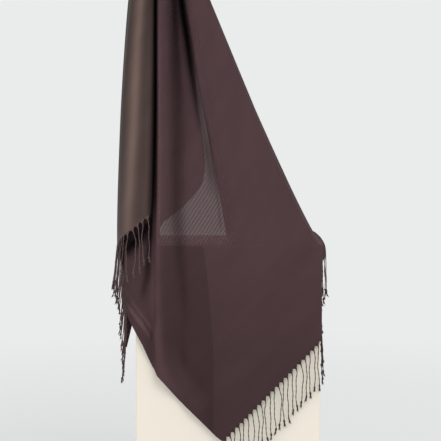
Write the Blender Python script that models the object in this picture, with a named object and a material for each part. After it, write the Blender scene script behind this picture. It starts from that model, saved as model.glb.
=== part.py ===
"""Fringed hijab scarf, hung by its middle over a knobbed post and draped across a square display plinth.

Metres, +Z up, front towards -Y. The origin is the centre of the plinth's underside, where it stands.
The scarf is one oblong of cloth. Its two halves fall from the neck, a ring just under the post's knob:
half B spreads over the plinth's front, right side and back and ends in the slanting front fringe, and
half A falls outside it, down the left side, and ends in the left fringe. Each stretch of cloth is a thin
wall through rails. A rail is one fall line: it leaves the neck at an angle, runs to the plinth's top
edge and hangs from there to the hem. Heights in the tables are above the plinth's top.
"""

from collections import namedtuple
from math import pi

import bmesh
import bpy
import numpy as np

# Plinth and post
PLINTH_SIDE = 0.300
PLINTH_HEIGHT = 0.600
PLINTH_BEVEL = 0.0015
BEVEL_SEGMENTS = 2
POST_X = -0.125  # the post stands near the plinth's left edge
POST_RADIUS = 0.006
KNOB_RADIUS = 0.016
KNOB_RISE = 0.612  # of the knob's centre
KNOB_FROM, KNOB_TO = -0.36 * pi, 0.44 * pi  # the knob's arc, from its seat on the shaft to its flat top
KNOB_RINGS = 8
SHAFT_END = 1.15  # knob radii from the knob's centre down to the shaft's end
POST_SIDES = 14

# Cloth
WALL = 0.0012
SEAM_GAP = 0.0004
SHARP_ANGLE = pi / 4  # edges sharper than this stay crisp
BETWEEN = 2  # columns from one rail to the next
NECK_RISE = 0.600
NECK_RADIUS_B = 0.0190
NECK_RADIUS_A = 0.0245
NECK_SHIFT_B = 0.006  # half B bunches this far to the right of the post
FOLD_START, FOLD_FULL, FOLD_END = 0.08, 0.36, 0.97  # shares of the fall over which a fold comes and goes

# Crown, the small dome of cloth over the knob
CROWN_RISE = 0.034
CROWN_RADIUS = 0.0250
CROWN_PLEATS = 9
CROWN_PLEAT_DEPTH = 0.0012
CROWN_WALL = 0.0020
CROWN_SIDES = 36
CROWN_RINGS = 5
CROWN_CLIMB = 0.94 * pi / 2  # the last ring's climb, short of the dome's tip
CROWN_ROUND = 0.6  # below 1, the dome is fuller than a ball

# Fringe
STRIP_GAP = 0.0010
STRIP_HEIGHT = 0.0035
STRAND_LENGTH = 0.084
STRAND_REACH = 0.006  # how far a strand runs square to the edge before it hangs
STRAND_SWAY = 0.16  # share of the space between strands
SWAY_TURN = 2.4  # radians from one strand's sway to the next
PITCH = 0.0103
REAR_LEAN = 0.012  # how far the rear half's strands lean out at their tips
# A strand from root to tip: share of its length, and half its thickness in metres
STRAND_PROFILE = ((0.07, 0.0009), (0.36, 0.0007), (0.78, 0.0008), (0.89, 0.0014), (1.0, 0.0009))

CREAM = (0.86, 0.81, 0.73, 1.0)
STEEL = (0.62, 0.62, 0.60, 1.0)
PLUM = (0.088, 0.054, 0.054, 1.0)
PLUM_REVERSE = (0.105, 0.078, 0.066, 1.0)
PLUM_FRINGE = (0.030, 0.018, 0.017, 1.0)

# turn: degrees round the post, -90 at the front and 0 at the right.
# ease: 1 falls straight in x, and more bows outwards. fold: metres out, or in, over the upper fall.
Rail = namedtuple("Rail", "name turn ease fold edge_x edge_y edge_z hem_x hem_y hem_z")

FRONT = (
    Rail("tucked end", -186, 1.6, 0.000, -0.1640, -0.0400, 0.010, -0.1680, -0.0400, -0.0250),
    Rail("left side", -166, 1.6, 0.000, -0.1640, -0.0850, 0.010, -0.1710, -0.0850, -0.0600),
    Rail("left silhouette", -146, 1.6, -0.008, -0.1630, -0.1230, 0.008, -0.1700, -0.1260, -0.0860),
    Rail("plinth corner", -132, 1.5, -0.016, -0.1530, -0.1520, 0.006, -0.1550, -0.1560, -0.1300),
    Rail("lower left", -118, 1.3, -0.024, -0.1360, -0.1550, 0.004, -0.1380, -0.1585, -0.1610),
    Rail("deep crease", -106, 1.0, -0.028, -0.1210, -0.1540, 0.004, -0.1225, -0.1555, -0.1960),
    Rail("front fold", -90, 1.3, 0.006, -0.1120, -0.1680, 0.004, -0.1110, -0.1670, -0.2130),
    Rail("groove", -76, 2.6, -0.010, -0.0820, -0.1560, 0.004, -0.0800, -0.1570, -0.2500),
    Rail("second fold", -68, 2.0, 0.001, -0.0630, -0.1600, 0.004, -0.0620, -0.1605, -0.2670),
    Rail("shadowed wedge", -61, 1.6, -0.012, -0.0290, -0.1575, 0.004, -0.0310, -0.1590, -0.2980),
    Rail("panel edge", -56, 1.4, 0.000, -0.0190, -0.1575, 0.004, -0.0195, -0.1600, -0.3095),
    Rail("front corner", -51, 1.3, 0.000, -0.0085, -0.1575, 0.004, -0.0095, -0.1610, -0.3167),
    Rail("panel left", -42, 1.1, 0.000, 0.0350, -0.1580, 0.004, 0.0350, -0.1600, -0.2708),
    Rail("panel middle", -36, 1.0, 0.001, 0.0920, -0.1580, 0.004, 0.0920, -0.1590, -0.2121),
    Rail("panel right", -29, 0.93, 0.000, 0.1280, -0.1575, 0.004, 0.1330, -0.1580, -0.1698),
    Rail("silhouette", -24, 0.87, 0.000, 0.1400, -0.1550, 0.005, 0.1465, -0.1560, -0.1560),
    Rail("round the corner", -15, 0.87, 0.000, 0.1440, -0.1490, 0.006, 0.1518, -0.1522, -0.1500),
    Rail("past the corner", -8, 0.87, 0.000, 0.1450, -0.1420, 0.006, 0.1531, -0.1435, -0.1410),
)
RIGHT = (
    Rail("corner", -5.5, 0.87, 0.000, 0.1450, -0.1400, 0.006, 0.1532, -0.1412, -0.1385),
    Rail("side front", 2, 0.9, -0.003, 0.1485, -0.1000, 0.006, 0.1550, -0.1000, -0.1050),
    Rail("side trough", 10, 0.9, -0.006, 0.1480, -0.0500, 0.008, 0.1590, -0.0500, -0.0740),
    Rail("side ridge", 18, 0.9, -0.002, 0.1480, 0.0050, 0.010, 0.1630, 0.0050, -0.0450),
    Rail("flare", 26, 0.9, -0.004, 0.1480, 0.0500, 0.012, 0.1800, 0.0500, -0.0310),
    Rail("side back", 33, 1.0, -0.003, 0.1490, 0.1000, 0.010, 0.1620, 0.1000, -0.0290),
    Rail("back corner", 39, 1.0, 0.000, 0.1500, 0.1400, 0.008, 0.1600, 0.1430, -0.0280),
)
BACK = (
    Rail("back corner", 40.5, 1.0, 0.000, 0.1500, 0.1425, 0.008, 0.1590, 0.1460, -0.0280),
    Rail("turned corner", 44, 1.0, 0.000, 0.1430, 0.1530, 0.006, 0.1450, 0.1600, -0.0280),
    Rail("back trough", 52, 1.0, -0.006, 0.1100, 0.1540, 0.004, 0.1100, 0.1570, -0.0270),
    Rail("back ridge", 60, 1.0, 0.004, 0.0700, 0.1570, 0.004, 0.0700, 0.1620, -0.0270),
    Rail("second trough", 68, 1.0, -0.005, 0.0330, 0.1540, 0.004, 0.0330, 0.1570, -0.0260),
    Rail("selvedge", 75, 1.06, -0.004, -0.0020, 0.1550, 0.004, -0.0020, 0.1580, -0.0260),
)
LEFT = (
    Rail("rear corner", -236, 2.2, 0.000, -0.2020, 0.1480, -0.140, -0.1980, 0.1500, -0.2180),
    Rail("rear trough", -222, 2.1, -0.004, -0.1900, 0.1180, -0.100, -0.1900, 0.1200, -0.1700),
    Rail("rear ridge", -208, 1.9, 0.001, -0.1870, 0.0700, -0.060, -0.1870, 0.0700, -0.1100),
    Rail("side trough", -190, 1.9, -0.004, -0.1840, 0.0180, -0.030, -0.1850, 0.0180, -0.0600),
    Rail("side ridge", -172, 1.9, 0.001, -0.1870, -0.0350, 0.000, -0.1870, -0.0350, -0.0260),
    Rail("silhouette", -154, 1.9, 0.000, -0.1860, -0.0830, 0.020, -0.1860, -0.0830, -0.0040),
    Rail("bright ridge", -136, 1.9, 0.002, -0.1790, -0.1270, 0.040, -0.1790, -0.1270, 0.0080),
    Rail("round front", -122, 0.9, 0.003, -0.1610, -0.1660, 0.060, -0.1610, -0.1660, 0.0220),
    Rail("front trough", -106, 0.8, -0.003, -0.1420, -0.1640, 0.070, -0.1420, -0.1640, 0.0390),
    Rail("front border", -97, 2.3, -0.010, -0.1235, -0.1605, 0.090, -0.1240, -0.1610, 0.0520),
)

# The free selvedge of half A, which swings round behind: metres above the plinth's top, and x and y there
SelvedgePoint = namedtuple("SelvedgePoint", "z x y")
REAR_SELVEDGE = (
    SelvedgePoint(0.600, -0.1130, 0.0220),
    SelvedgePoint(0.410, -0.0710, 0.0680),
    SelvedgePoint(0.264, -0.0560, 0.1020),
    SelvedgePoint(0.130, -0.0415, 0.1360),
    SelvedgePoint(0.105, -0.0450, 0.1430),
    SelvedgePoint(0.075, -0.0640, 0.1500),
    SelvedgePoint(0.045, -0.0940, 0.1570),
    SelvedgePoint(0.022, -0.1240, 0.1610),
    SelvedgePoint(-0.100, -0.1640, 0.1620),
    SelvedgePoint(-0.216, -0.1930, 0.1560),
)
REAR_BULGE = 0.010  # how far the rear panel bellies out between its two borders
REAR_WIDE = 0.08  # where it's narrower than this, it bellies less
REAR_COLUMNS = 6

# The layer folded under the front, against the plinth: x of its left and right borders by height
UnderRow = namedtuple("UnderRow", "z left right")
UNDER = (
    UnderRow(-0.001, -0.1090, -0.0400),
    UnderRow(-0.040, -0.1090, -0.0345),
    UnderRow(-0.088, -0.1085, -0.0298),
    UnderRow(-0.150, -0.1040, -0.0247),
    UnderRow(-0.200, -0.0740, -0.0236),
    UnderRow(-0.245, -0.0400, -0.0233),
)
UNDER_Y = -0.1535
UNDER_COLUMNS = 5

FLARE = (0.010, 0.022)  # how far a hem stands out where the flare begins, and where it is full
TURN_DOWN = 0.008  # the height over which cloth that doesn't flare turns down over the edge
DROP_CROWDING = 1.5  # above 1, the rows of a drop crowd towards the edge
FLARE_BOW = 0.5  # a flared drop bows out by this much more
FAN_ROWS = 11
DROP_ROWS = 8


def clear_scene():
    for obj in list(bpy.data.objects):
        bpy.data.objects.remove(obj, do_unlink=True)


def material(name, colour, roughness, metallic=0.0):
    mat = bpy.data.materials.new(name)
    mat.use_nodes = True
    shader = mat.node_tree.nodes["Principled BSDF"]
    shader.inputs["Base Color"].default_value = colour
    shader.inputs["Roughness"].default_value = roughness
    shader.inputs["Metallic"].default_value = metallic
    mat.diffuse_color = colour
    return mat


def add_object(name, mesh, mat):
    obj = bpy.data.objects.new(name, mesh)
    mesh.materials.append(mat)
    bpy.context.scene.collection.objects.link(obj)
    return obj


def mesh_of(name, points, faces):
    mesh = bpy.data.meshes.new(name)
    mesh.from_pydata([tuple(p) for p in points], [], [tuple(f) for f in faces])
    mesh.update()
    mesh.shade_smooth()
    mesh.set_sharp_from_angle(angle=SHARP_ANGLE)
    return mesh


def smooth_steps(knots, values, at):
    """Monotone cubic curve through values, so that a ridge or a trough stays at its own row."""
    knots, values, at = (np.asarray(a, float) for a in (knots, values, at))
    gaps = np.diff(knots)
    slopes = np.diff(values) / gaps
    tangents = np.zeros_like(values)
    tangents[0], tangents[-1] = slopes[0], slopes[-1]
    same_way = slopes[:-1] * slopes[1:] > 0
    total = np.where(same_way, slopes[:-1] + slopes[1:], 1.0)
    tangents[1:-1] = np.where(same_way, 2 * slopes[:-1] * slopes[1:] / total, 0.0)
    k = np.clip(np.searchsorted(knots, at, side="right") - 1, 0, len(gaps) - 1)
    u = (at - knots[k]) / gaps[k]
    rise = (1 + 2 * u) * (1 - u) ** 2 * values[k] + u**2 * (3 - 2 * u) * values[k + 1]
    return rise + gaps[k] * (u * (1 - u) ** 2 * tangents[k] - u**2 * (1 - u) * tangents[k + 1])


def smooth_share(value, start, end):
    share = np.clip((value - start) / (end - start), 0.0, 1.0)
    return share * share * (3 - 2 * share)


def rail_columns(rails, between):
    """The rails' sizes at every column of a stretch, with this many columns from one rail to the next.

    The hem's height runs straight between rails along the hem, so that a straight edge stays straight."""
    index = np.arange(len(rails))
    at = np.linspace(0, len(rails) - 1, (len(rails) - 1) * between + 1)
    fields = Rail._fields[1:]
    sizes = {f: smooth_steps(index, [getattr(r, f) for r in rails], at) for f in fields}
    steps = np.hypot(np.diff(sizes["hem_x"]), np.diff(sizes["hem_y"]))
    along = np.concatenate(([0.0], np.cumsum(steps)))
    sizes["hem_z"] = np.interp(along, along[::between], [r.hem_z for r in rails])
    return sizes


def rail_surface(rails, neck_radius, neck_shift=0.0):
    """Points of a stretch's outer face, as rows down the fall by columns round it."""
    s = rail_columns(rails, BETWEEN)
    turn = np.radians(s["turn"])
    neck_x = POST_X + neck_shift + neck_radius * np.cos(turn)
    neck_y = neck_radius * np.sin(turn)
    t = np.linspace(0, 1, FAN_ROWS)[:, None]
    x = neck_x + (s["edge_x"] - neck_x) * (1 - (1 - t) ** s["ease"])
    y = neck_y + (s["edge_y"] - neck_y) * t
    z = NECK_RISE + (s["edge_z"] - NECK_RISE) * t
    away_x, away_y = s["edge_x"] - POST_X, s["edge_y"]
    reach = np.hypot(away_x, away_y)
    fold = s["fold"] * smooth_share(t, FOLD_START, FOLD_FULL) * (1 - smooth_share(t, FOLD_FULL, FOLD_END))
    fan = np.stack([x + fold * away_x / reach, y + fold * away_y / reach, z], axis=-1)
    # The drop turns down close over the edge, or flares where the hem stands well out from it.
    v = np.linspace(0, 1, DROP_ROWS + 1)[1:, None] ** DROP_CROWDING
    flare = smooth_share(np.hypot(s["hem_x"] - s["edge_x"], s["hem_y"] - s["edge_y"]), *FLARE)
    close = smooth_share(v * (s["edge_z"] - s["hem_z"]), 0.0, TURN_DOWN)
    out, down = flare * v * (2 - v) + (1 - flare) * close, v ** (1 + FLARE_BOW * flare)
    drop = np.stack(
        [
            s["edge_x"] + (s["hem_x"] - s["edge_x"]) * out,
            s["edge_y"] + (s["hem_y"] - s["edge_y"]) * out,
            s["edge_z"] + (s["hem_z"] - s["edge_z"]) * down,
        ],
        axis=-1,
    )
    surface = np.concatenate([fan, drop])
    surface[..., 2] += PLINTH_HEIGHT
    return surface


def outward(surface):
    """Unit normals of a grid whose rows run down and whose columns run anticlockwise from above."""
    normal = np.cross(np.gradient(surface, axis=0), np.gradient(surface, axis=1))
    return normal / np.linalg.norm(normal, axis=-1, keepdims=True)


def wall_mesh(name, surface, wall):
    """A closed wall whose outer face is the surface."""
    rows, columns = surface.shape[:2]
    inner = surface - wall * outward(surface)
    points = np.concatenate([surface.reshape(-1, 3), inner.reshape(-1, 3)])
    outer_at = np.arange(rows * columns).reshape(rows, columns)
    inner_at = outer_at + rows * columns

    def halves(grid):
        """Both triangles of each cell, split along the same diagonal in both faces of the wall."""
        a, b, c, d = grid[:-1, :-1], grid[1:, :-1], grid[1:, 1:], grid[:-1, 1:]
        return np.concatenate([np.stack(half, axis=-1).reshape(-1, 3) for half in ((a, b, c), (a, c, d))])

    rim_outer = np.concatenate([outer_at[0, ::-1], outer_at[1:, 0], outer_at[-1, 1:], outer_at[-2:0:-1, -1]])
    rim_inner = rim_outer + rows * columns
    rim = np.stack([rim_outer, rim_inner, np.roll(rim_inner, -1), np.roll(rim_outer, -1)], axis=-1)
    faces = [*halves(outer_at), *halves(inner_at)[:, ::-1], *rim]
    return mesh_of(name, points, faces)


def box_piece(name, mat):
    """The plinth: a plain square block with softened edges."""
    bm = bmesh.new()
    bmesh.ops.create_cube(bm, size=1.0)
    bmesh.ops.scale(bm, vec=(PLINTH_SIDE, PLINTH_SIDE, PLINTH_HEIGHT), verts=bm.verts)
    bmesh.ops.translate(bm, vec=(0, 0, PLINTH_HEIGHT / 2), verts=bm.verts)
    bmesh.ops.bevel(bm, geom=bm.edges[:], offset=PLINTH_BEVEL, segments=BEVEL_SEGMENTS, affect="EDGES")
    mesh = bpy.data.meshes.new(name)
    bm.to_mesh(mesh)
    bm.free()
    mesh.shade_smooth()
    mesh.set_sharp_from_angle(angle=SHARP_ANGLE)
    return add_object(name, mesh, mat)


def turned_mesh(name, profile, sides):
    """A closed solid turned about Z from (radius, height) pairs, bottom to top, with points at both ends."""
    angles = np.linspace(0, 2 * pi, sides, endpoint=False)
    rings = [np.stack([r * np.cos(angles), r * np.sin(angles), np.full(sides, z)], -1) for r, z in profile]
    bottom, top = profile[0][1], profile[-1][1]
    points = np.concatenate([*rings, [[0, 0, bottom]], [[0, 0, top]]])
    last = len(profile) * sides
    faces = []
    for ring in range(len(profile) - 1):
        for k in range(sides):
            a, b = ring * sides + k, ring * sides + (k + 1) % sides
            faces.append((a, b, b + sides, a + sides))
    for k in range(sides):
        faces.append(((k + 1) % sides, k, last))
        faces.append((last - sides + k, last - sides + (k + 1) % sides, last + 1))
    return mesh_of(name, points, faces)


def post_piece(name, mat):
    """The slim post with its round knob, standing on the plinth."""
    arc = np.linspace(KNOB_FROM, KNOB_TO, KNOB_RINGS)
    knob = [(KNOB_RADIUS * np.cos(a), KNOB_RISE + KNOB_RADIUS * np.sin(a)) for a in arc]
    shaft = [(POST_RADIUS, SEAM_GAP), (POST_RADIUS, KNOB_RISE - SHAFT_END * KNOB_RADIUS)]
    obj = add_object(name, turned_mesh(name, shaft + knob, POST_SIDES), mat)
    obj.location = (POST_X, 0, PLINTH_HEIGHT)
    return obj


def crown_piece(name, mat):
    """The dome over the knob, with small pleats that die out towards its top."""
    around = np.linspace(0, 2 * pi, CROWN_SIDES, endpoint=False)
    pleats = CROWN_PLEAT_DEPTH * np.cos(CROWN_PLEATS * around)

    def dome(inset):
        rings = []
        for climb in np.linspace(0, CROWN_CLIMB, CROWN_RINGS):
            radius = (CROWN_RADIUS - inset + pleats * np.cos(climb)) * np.cos(climb) ** CROWN_ROUND
            rise = np.full(CROWN_SIDES, NECK_RISE + SEAM_GAP + (CROWN_RISE - inset) * np.sin(climb))
            rings.append(np.stack([POST_X + radius * np.cos(around), radius * np.sin(around), rise], -1))
        return rings

    outer, inner = dome(0.0), dome(CROWN_WALL)
    points = np.concatenate(outer + inner)
    points = np.concatenate([points, [[POST_X, 0, NECK_RISE + SEAM_GAP + CROWN_RISE]]])
    points = np.concatenate([points, [[POST_X, 0, NECK_RISE + SEAM_GAP + CROWN_RISE - CROWN_WALL]]])
    points[:, 2] += PLINTH_HEIGHT
    step = CROWN_RINGS * CROWN_SIDES
    faces = []
    for k in range(CROWN_SIDES):
        m = (k + 1) % CROWN_SIDES
        for ring in range(CROWN_RINGS - 1):
            a, b = ring * CROWN_SIDES + k, ring * CROWN_SIDES + m
            faces.append((a, b, b + CROWN_SIDES, a + CROWN_SIDES))
            faces.append((step + b, step + a, step + a + CROWN_SIDES, step + b + CROWN_SIDES))
        top = (CROWN_RINGS - 1) * CROWN_SIDES
        faces.append((top + k, top + m, 2 * step))
        faces.append((step + top + m, step + top + k, 2 * step + 1))
        faces.append((m, k, step + k, step + m))
    return add_object(name, mesh_of(name, points, faces), mat)


def with_rear_panel(left):
    """Half A whole: its free selvedge, the panel behind the plinth, then the stretch round the left side."""
    border = left[:, 0]
    heights = border[:, 2] - PLINTH_HEIGHT
    fall = [-p.z for p in REAR_SELVEDGE]
    right = np.stack(
        [
            smooth_steps(fall, [p.x for p in REAR_SELVEDGE], -heights),
            smooth_steps(fall, [p.y for p in REAR_SELVEDGE], -heights),
            border[:, 2],
        ],
        axis=-1,
    )
    across = np.linspace(0, 1, REAR_COLUMNS, endpoint=False)[None, :, None]
    rear = right[:, None] + (border[:, None] - right[:, None]) * across
    width = np.linalg.norm(border - right, axis=-1)[:, None]
    rear[..., 1] += REAR_BULGE * np.sin(pi * across[..., 0]) * np.minimum(1, width / REAR_WIDE)
    return np.concatenate([rear, left], axis=1)


def under_surface():
    """The folded-under layer, a flat wall whose borders follow the table."""
    rows = [np.linspace(r.left, r.right, UNDER_COLUMNS) for r in UNDER]
    heights = np.array([r.z for r in UNDER])[:, None] + PLINTH_HEIGHT
    x = np.array(rows)
    return np.stack([x, np.full_like(x, UNDER_Y), np.broadcast_to(heights, x.shape)], axis=-1)


def hem_points(surface, start, end, pitch):
    """Points at an even pitch along the hem between two of its columns, with the outward direction there."""
    hem = surface[-1, start:end]
    normal = outward(surface)[-1, start:end]
    along = np.concatenate(([0.0], np.cumsum(np.linalg.norm(np.diff(hem, axis=0), axis=1))))
    count = int(round(along[-1] / pitch))
    at = np.linspace(0, along[-1], count + 1)
    points = np.stack([np.interp(at, along, hem[:, k]) for k in range(3)], -1)
    out = np.stack([np.interp(at, along, normal[:, k]) for k in range(3)], -1)
    return points, out / np.linalg.norm(out, axis=1, keepdims=True)


def strand_rings(root, away, out, side, sway, lean):
    """Corner rings of one four-sided strand, which leaves the edge squarely over its reach, then hangs."""
    square = np.array([-side[1], side[0], 0.0])
    square *= np.sign(square @ out)
    corners = ((-1, 1), (-1, -1), (1, -1), (1, 1))
    rings = []
    for share, half in STRAND_PROFILE:
        run = share * STRAND_LENGTH
        slant = STRAND_REACH * (1 - np.exp(-run / STRAND_REACH))
        centre = root + slant * away - np.array([0, 0, run - slant]) + lean * share * square
        centre = centre + side * sway * np.sin(pi * share)
        rings.append([centre + half * (a * side + b * square) for a, b in corners])
    return rings


def fringe_piece(name, surface, mat, start=0, end=None, lean=0.0):
    """A root strip along the hem, with one four-sided strand drawn down from each of its cells."""
    points, out = hem_points(surface, start, end, PITCH)
    tangent = np.gradient(points, axis=0)
    away = np.cross(tangent, out)
    away /= np.linalg.norm(away, axis=1, keepdims=True)
    top, foot = points + STRIP_GAP * away, points + (STRIP_GAP + STRIP_HEIGHT) * away
    # Four long lines of the strip: top outer, foot outer, foot inner, top inner
    lines = np.stack([top, foot, foot - WALL * out, top - WALL * out])
    n = len(points)
    vertices = [tuple(p) for p in lines.reshape(-1, 3)]
    faces = [(0, 3 * n, 2 * n, n), (n - 1, 2 * n - 1, 3 * n - 1, 4 * n - 1)]
    for k in range(n - 1):
        faces += [(k, n + k, n + k + 1), (k, n + k + 1, k + 1)]
        faces += [(3 * n + k, 2 * n + k + 1, 2 * n + k), (3 * n + k, 3 * n + k + 1, 2 * n + k + 1)]
        faces.append((k + 1, 3 * n + k + 1, 3 * n + k, k))
        root = (foot[k] + foot[k + 1]) / 2 - WALL / 2 * out[k]
        side = (points[k + 1] - points[k]) * (1, 1, 0)
        sway = STRAND_SWAY * np.linalg.norm(side) * np.sin(SWAY_TURN * k)
        ring = [n + k, 2 * n + k, 2 * n + k + 1, n + k + 1]
        for corners in strand_rings(root, away[k], out[k], side / np.linalg.norm(side), sway, lean):
            new = [len(vertices) + m for m in range(len(corners))]
            vertices += [tuple(p) for p in corners]
            for m in range(len(ring)):
                after = (m + 1) % len(ring)
                faces.append((ring[m], ring[after], new[after], new[m]))
            ring = new
        faces.append(tuple(ring))
    return add_object(name, mesh_of(name, vertices, faces), mat)


def build():
    clear_scene()
    cloth = material("plum twill", PLUM, 0.75)
    reverse = material("plum satin reverse", PLUM_REVERSE, 0.5)
    yarn = material("twisted fringe yarn", PLUM_FRINGE, 0.8)
    box_piece("plinth", material("cream painted board", CREAM, 0.55))
    post_piece("stand_post", material("brushed steel", STEEL, 0.35, 1.0))
    crown_piece("cloth_crown", cloth)

    front = rail_surface(FRONT, NECK_RADIUS_B, NECK_SHIFT_B)
    right = rail_surface(RIGHT, NECK_RADIUS_B, NECK_SHIFT_B)
    back = rail_surface(BACK, NECK_RADIUS_B, NECK_SHIFT_B)
    left = rail_surface(LEFT, NECK_RADIUS_A)
    stretches = {
        "cloth_front": (front, cloth),
        "cloth_right": (right, cloth),
        "cloth_back": (back, cloth),
        "cloth_left": (with_rear_panel(left), reverse),
        "cloth_folded_under": (under_surface(), cloth),
    }
    for name, (surface, mat) in stretches.items():
        add_object(name, wall_mesh(name, surface, WALL), mat)

    corner = BETWEEN * [r.name for r in FRONT].index("front corner")
    fringe_piece("fringe_front", front, yarn, start=corner)
    fringe_piece("fringe_right", right, yarn)
    fringe_piece("fringe_back", back, yarn)
    fringe_piece("fringe_left", left, yarn, end=-1, lean=REAR_LEAN)


build()
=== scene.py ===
"""Fringed hijab scarf, hung by its middle over a knobbed post and draped across a square display plinth.

Metres, +Z up, front towards -Y. The scarf is one oblong of light, slightly sheer twill, plum on its face and
a softly shining olive brown on its satin side. Its two halves fall from the neck, a ring just under the
post's knob. The front half spreads over the plinth's front, right side and back, and the rear half falls
outside it down the left side, satin out. Both ends carry a twisted and knotted fringe.
"""

from collections import namedtuple
from math import pi, radians

import bpy
import numpy as np
from bpy.props import FloatProperty, PointerProperty, StringProperty
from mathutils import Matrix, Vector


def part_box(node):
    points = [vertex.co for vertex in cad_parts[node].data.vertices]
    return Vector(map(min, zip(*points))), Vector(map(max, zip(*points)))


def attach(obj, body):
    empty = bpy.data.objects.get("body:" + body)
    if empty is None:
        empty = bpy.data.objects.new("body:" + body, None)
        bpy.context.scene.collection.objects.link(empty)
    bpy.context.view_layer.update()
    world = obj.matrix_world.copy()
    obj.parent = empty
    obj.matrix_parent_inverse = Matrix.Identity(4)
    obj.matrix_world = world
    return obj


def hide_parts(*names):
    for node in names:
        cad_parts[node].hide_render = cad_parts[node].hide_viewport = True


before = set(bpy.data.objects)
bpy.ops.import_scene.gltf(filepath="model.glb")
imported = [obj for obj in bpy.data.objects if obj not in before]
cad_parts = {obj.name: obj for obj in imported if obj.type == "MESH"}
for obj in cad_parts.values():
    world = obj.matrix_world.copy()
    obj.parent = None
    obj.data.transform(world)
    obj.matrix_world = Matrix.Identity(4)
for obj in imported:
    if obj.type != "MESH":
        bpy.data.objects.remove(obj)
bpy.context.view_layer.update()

bl_info = {
    "name": "Draped fringed scarf on a display plinth",
    "version": (1, 0, 0),
    "blender": (4, 5, 0),
    "location": "3D View > Sidebar > Draped scarf",
    "description": "Builds a fringed scarf draped over a square plinth, with its studio stage",
    "category": "Add Mesh",
}

PLINTH_LOW, PLINTH_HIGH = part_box("plinth")
PLINTH_TOP = PLINTH_HIGH.z
POST_LOW, POST_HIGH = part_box("stand_post")
POST_X = (POST_LOW.x + POST_HIGH.x) / 2

# The neck and the fall of the cloth
NECK_RISE = 0.600  # above the plinth's top
NECK_RADIUS_FRONT = 0.0190
NECK_RADIUS_REAR = 0.0245
NECK_SHIFT_FRONT = 0.006  # the front half bunches this far to the right of the post
FOLD_START, FOLD_FULL, FOLD_END = 0.08, 0.36, 0.97  # shares of the fall over which a fold comes and goes
FLARE = (0.010, 0.022)  # how far a hem stands out where the flare begins, and where it is full
TURN_DOWN = 0.008  # the height over which cloth that doesn't flare turns down over the edge
DROP_CROWDING = 1.5  # above 1, the rows of a drop crowd towards the edge
FAN_ROWS = 64
DROP_ROWS = 40
BETWEEN = 7  # columns from one rail to the next

# turn: degrees round the post, -90 at the front and 0 at the right.
# ease: 1 falls straight in x, and more bows outwards. fold: metres out, or in, over the upper fall.
# Heights are above the plinth's top.
Rail = namedtuple("Rail", "name turn ease fold edge_x edge_y edge_z hem_x hem_y hem_z")

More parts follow.
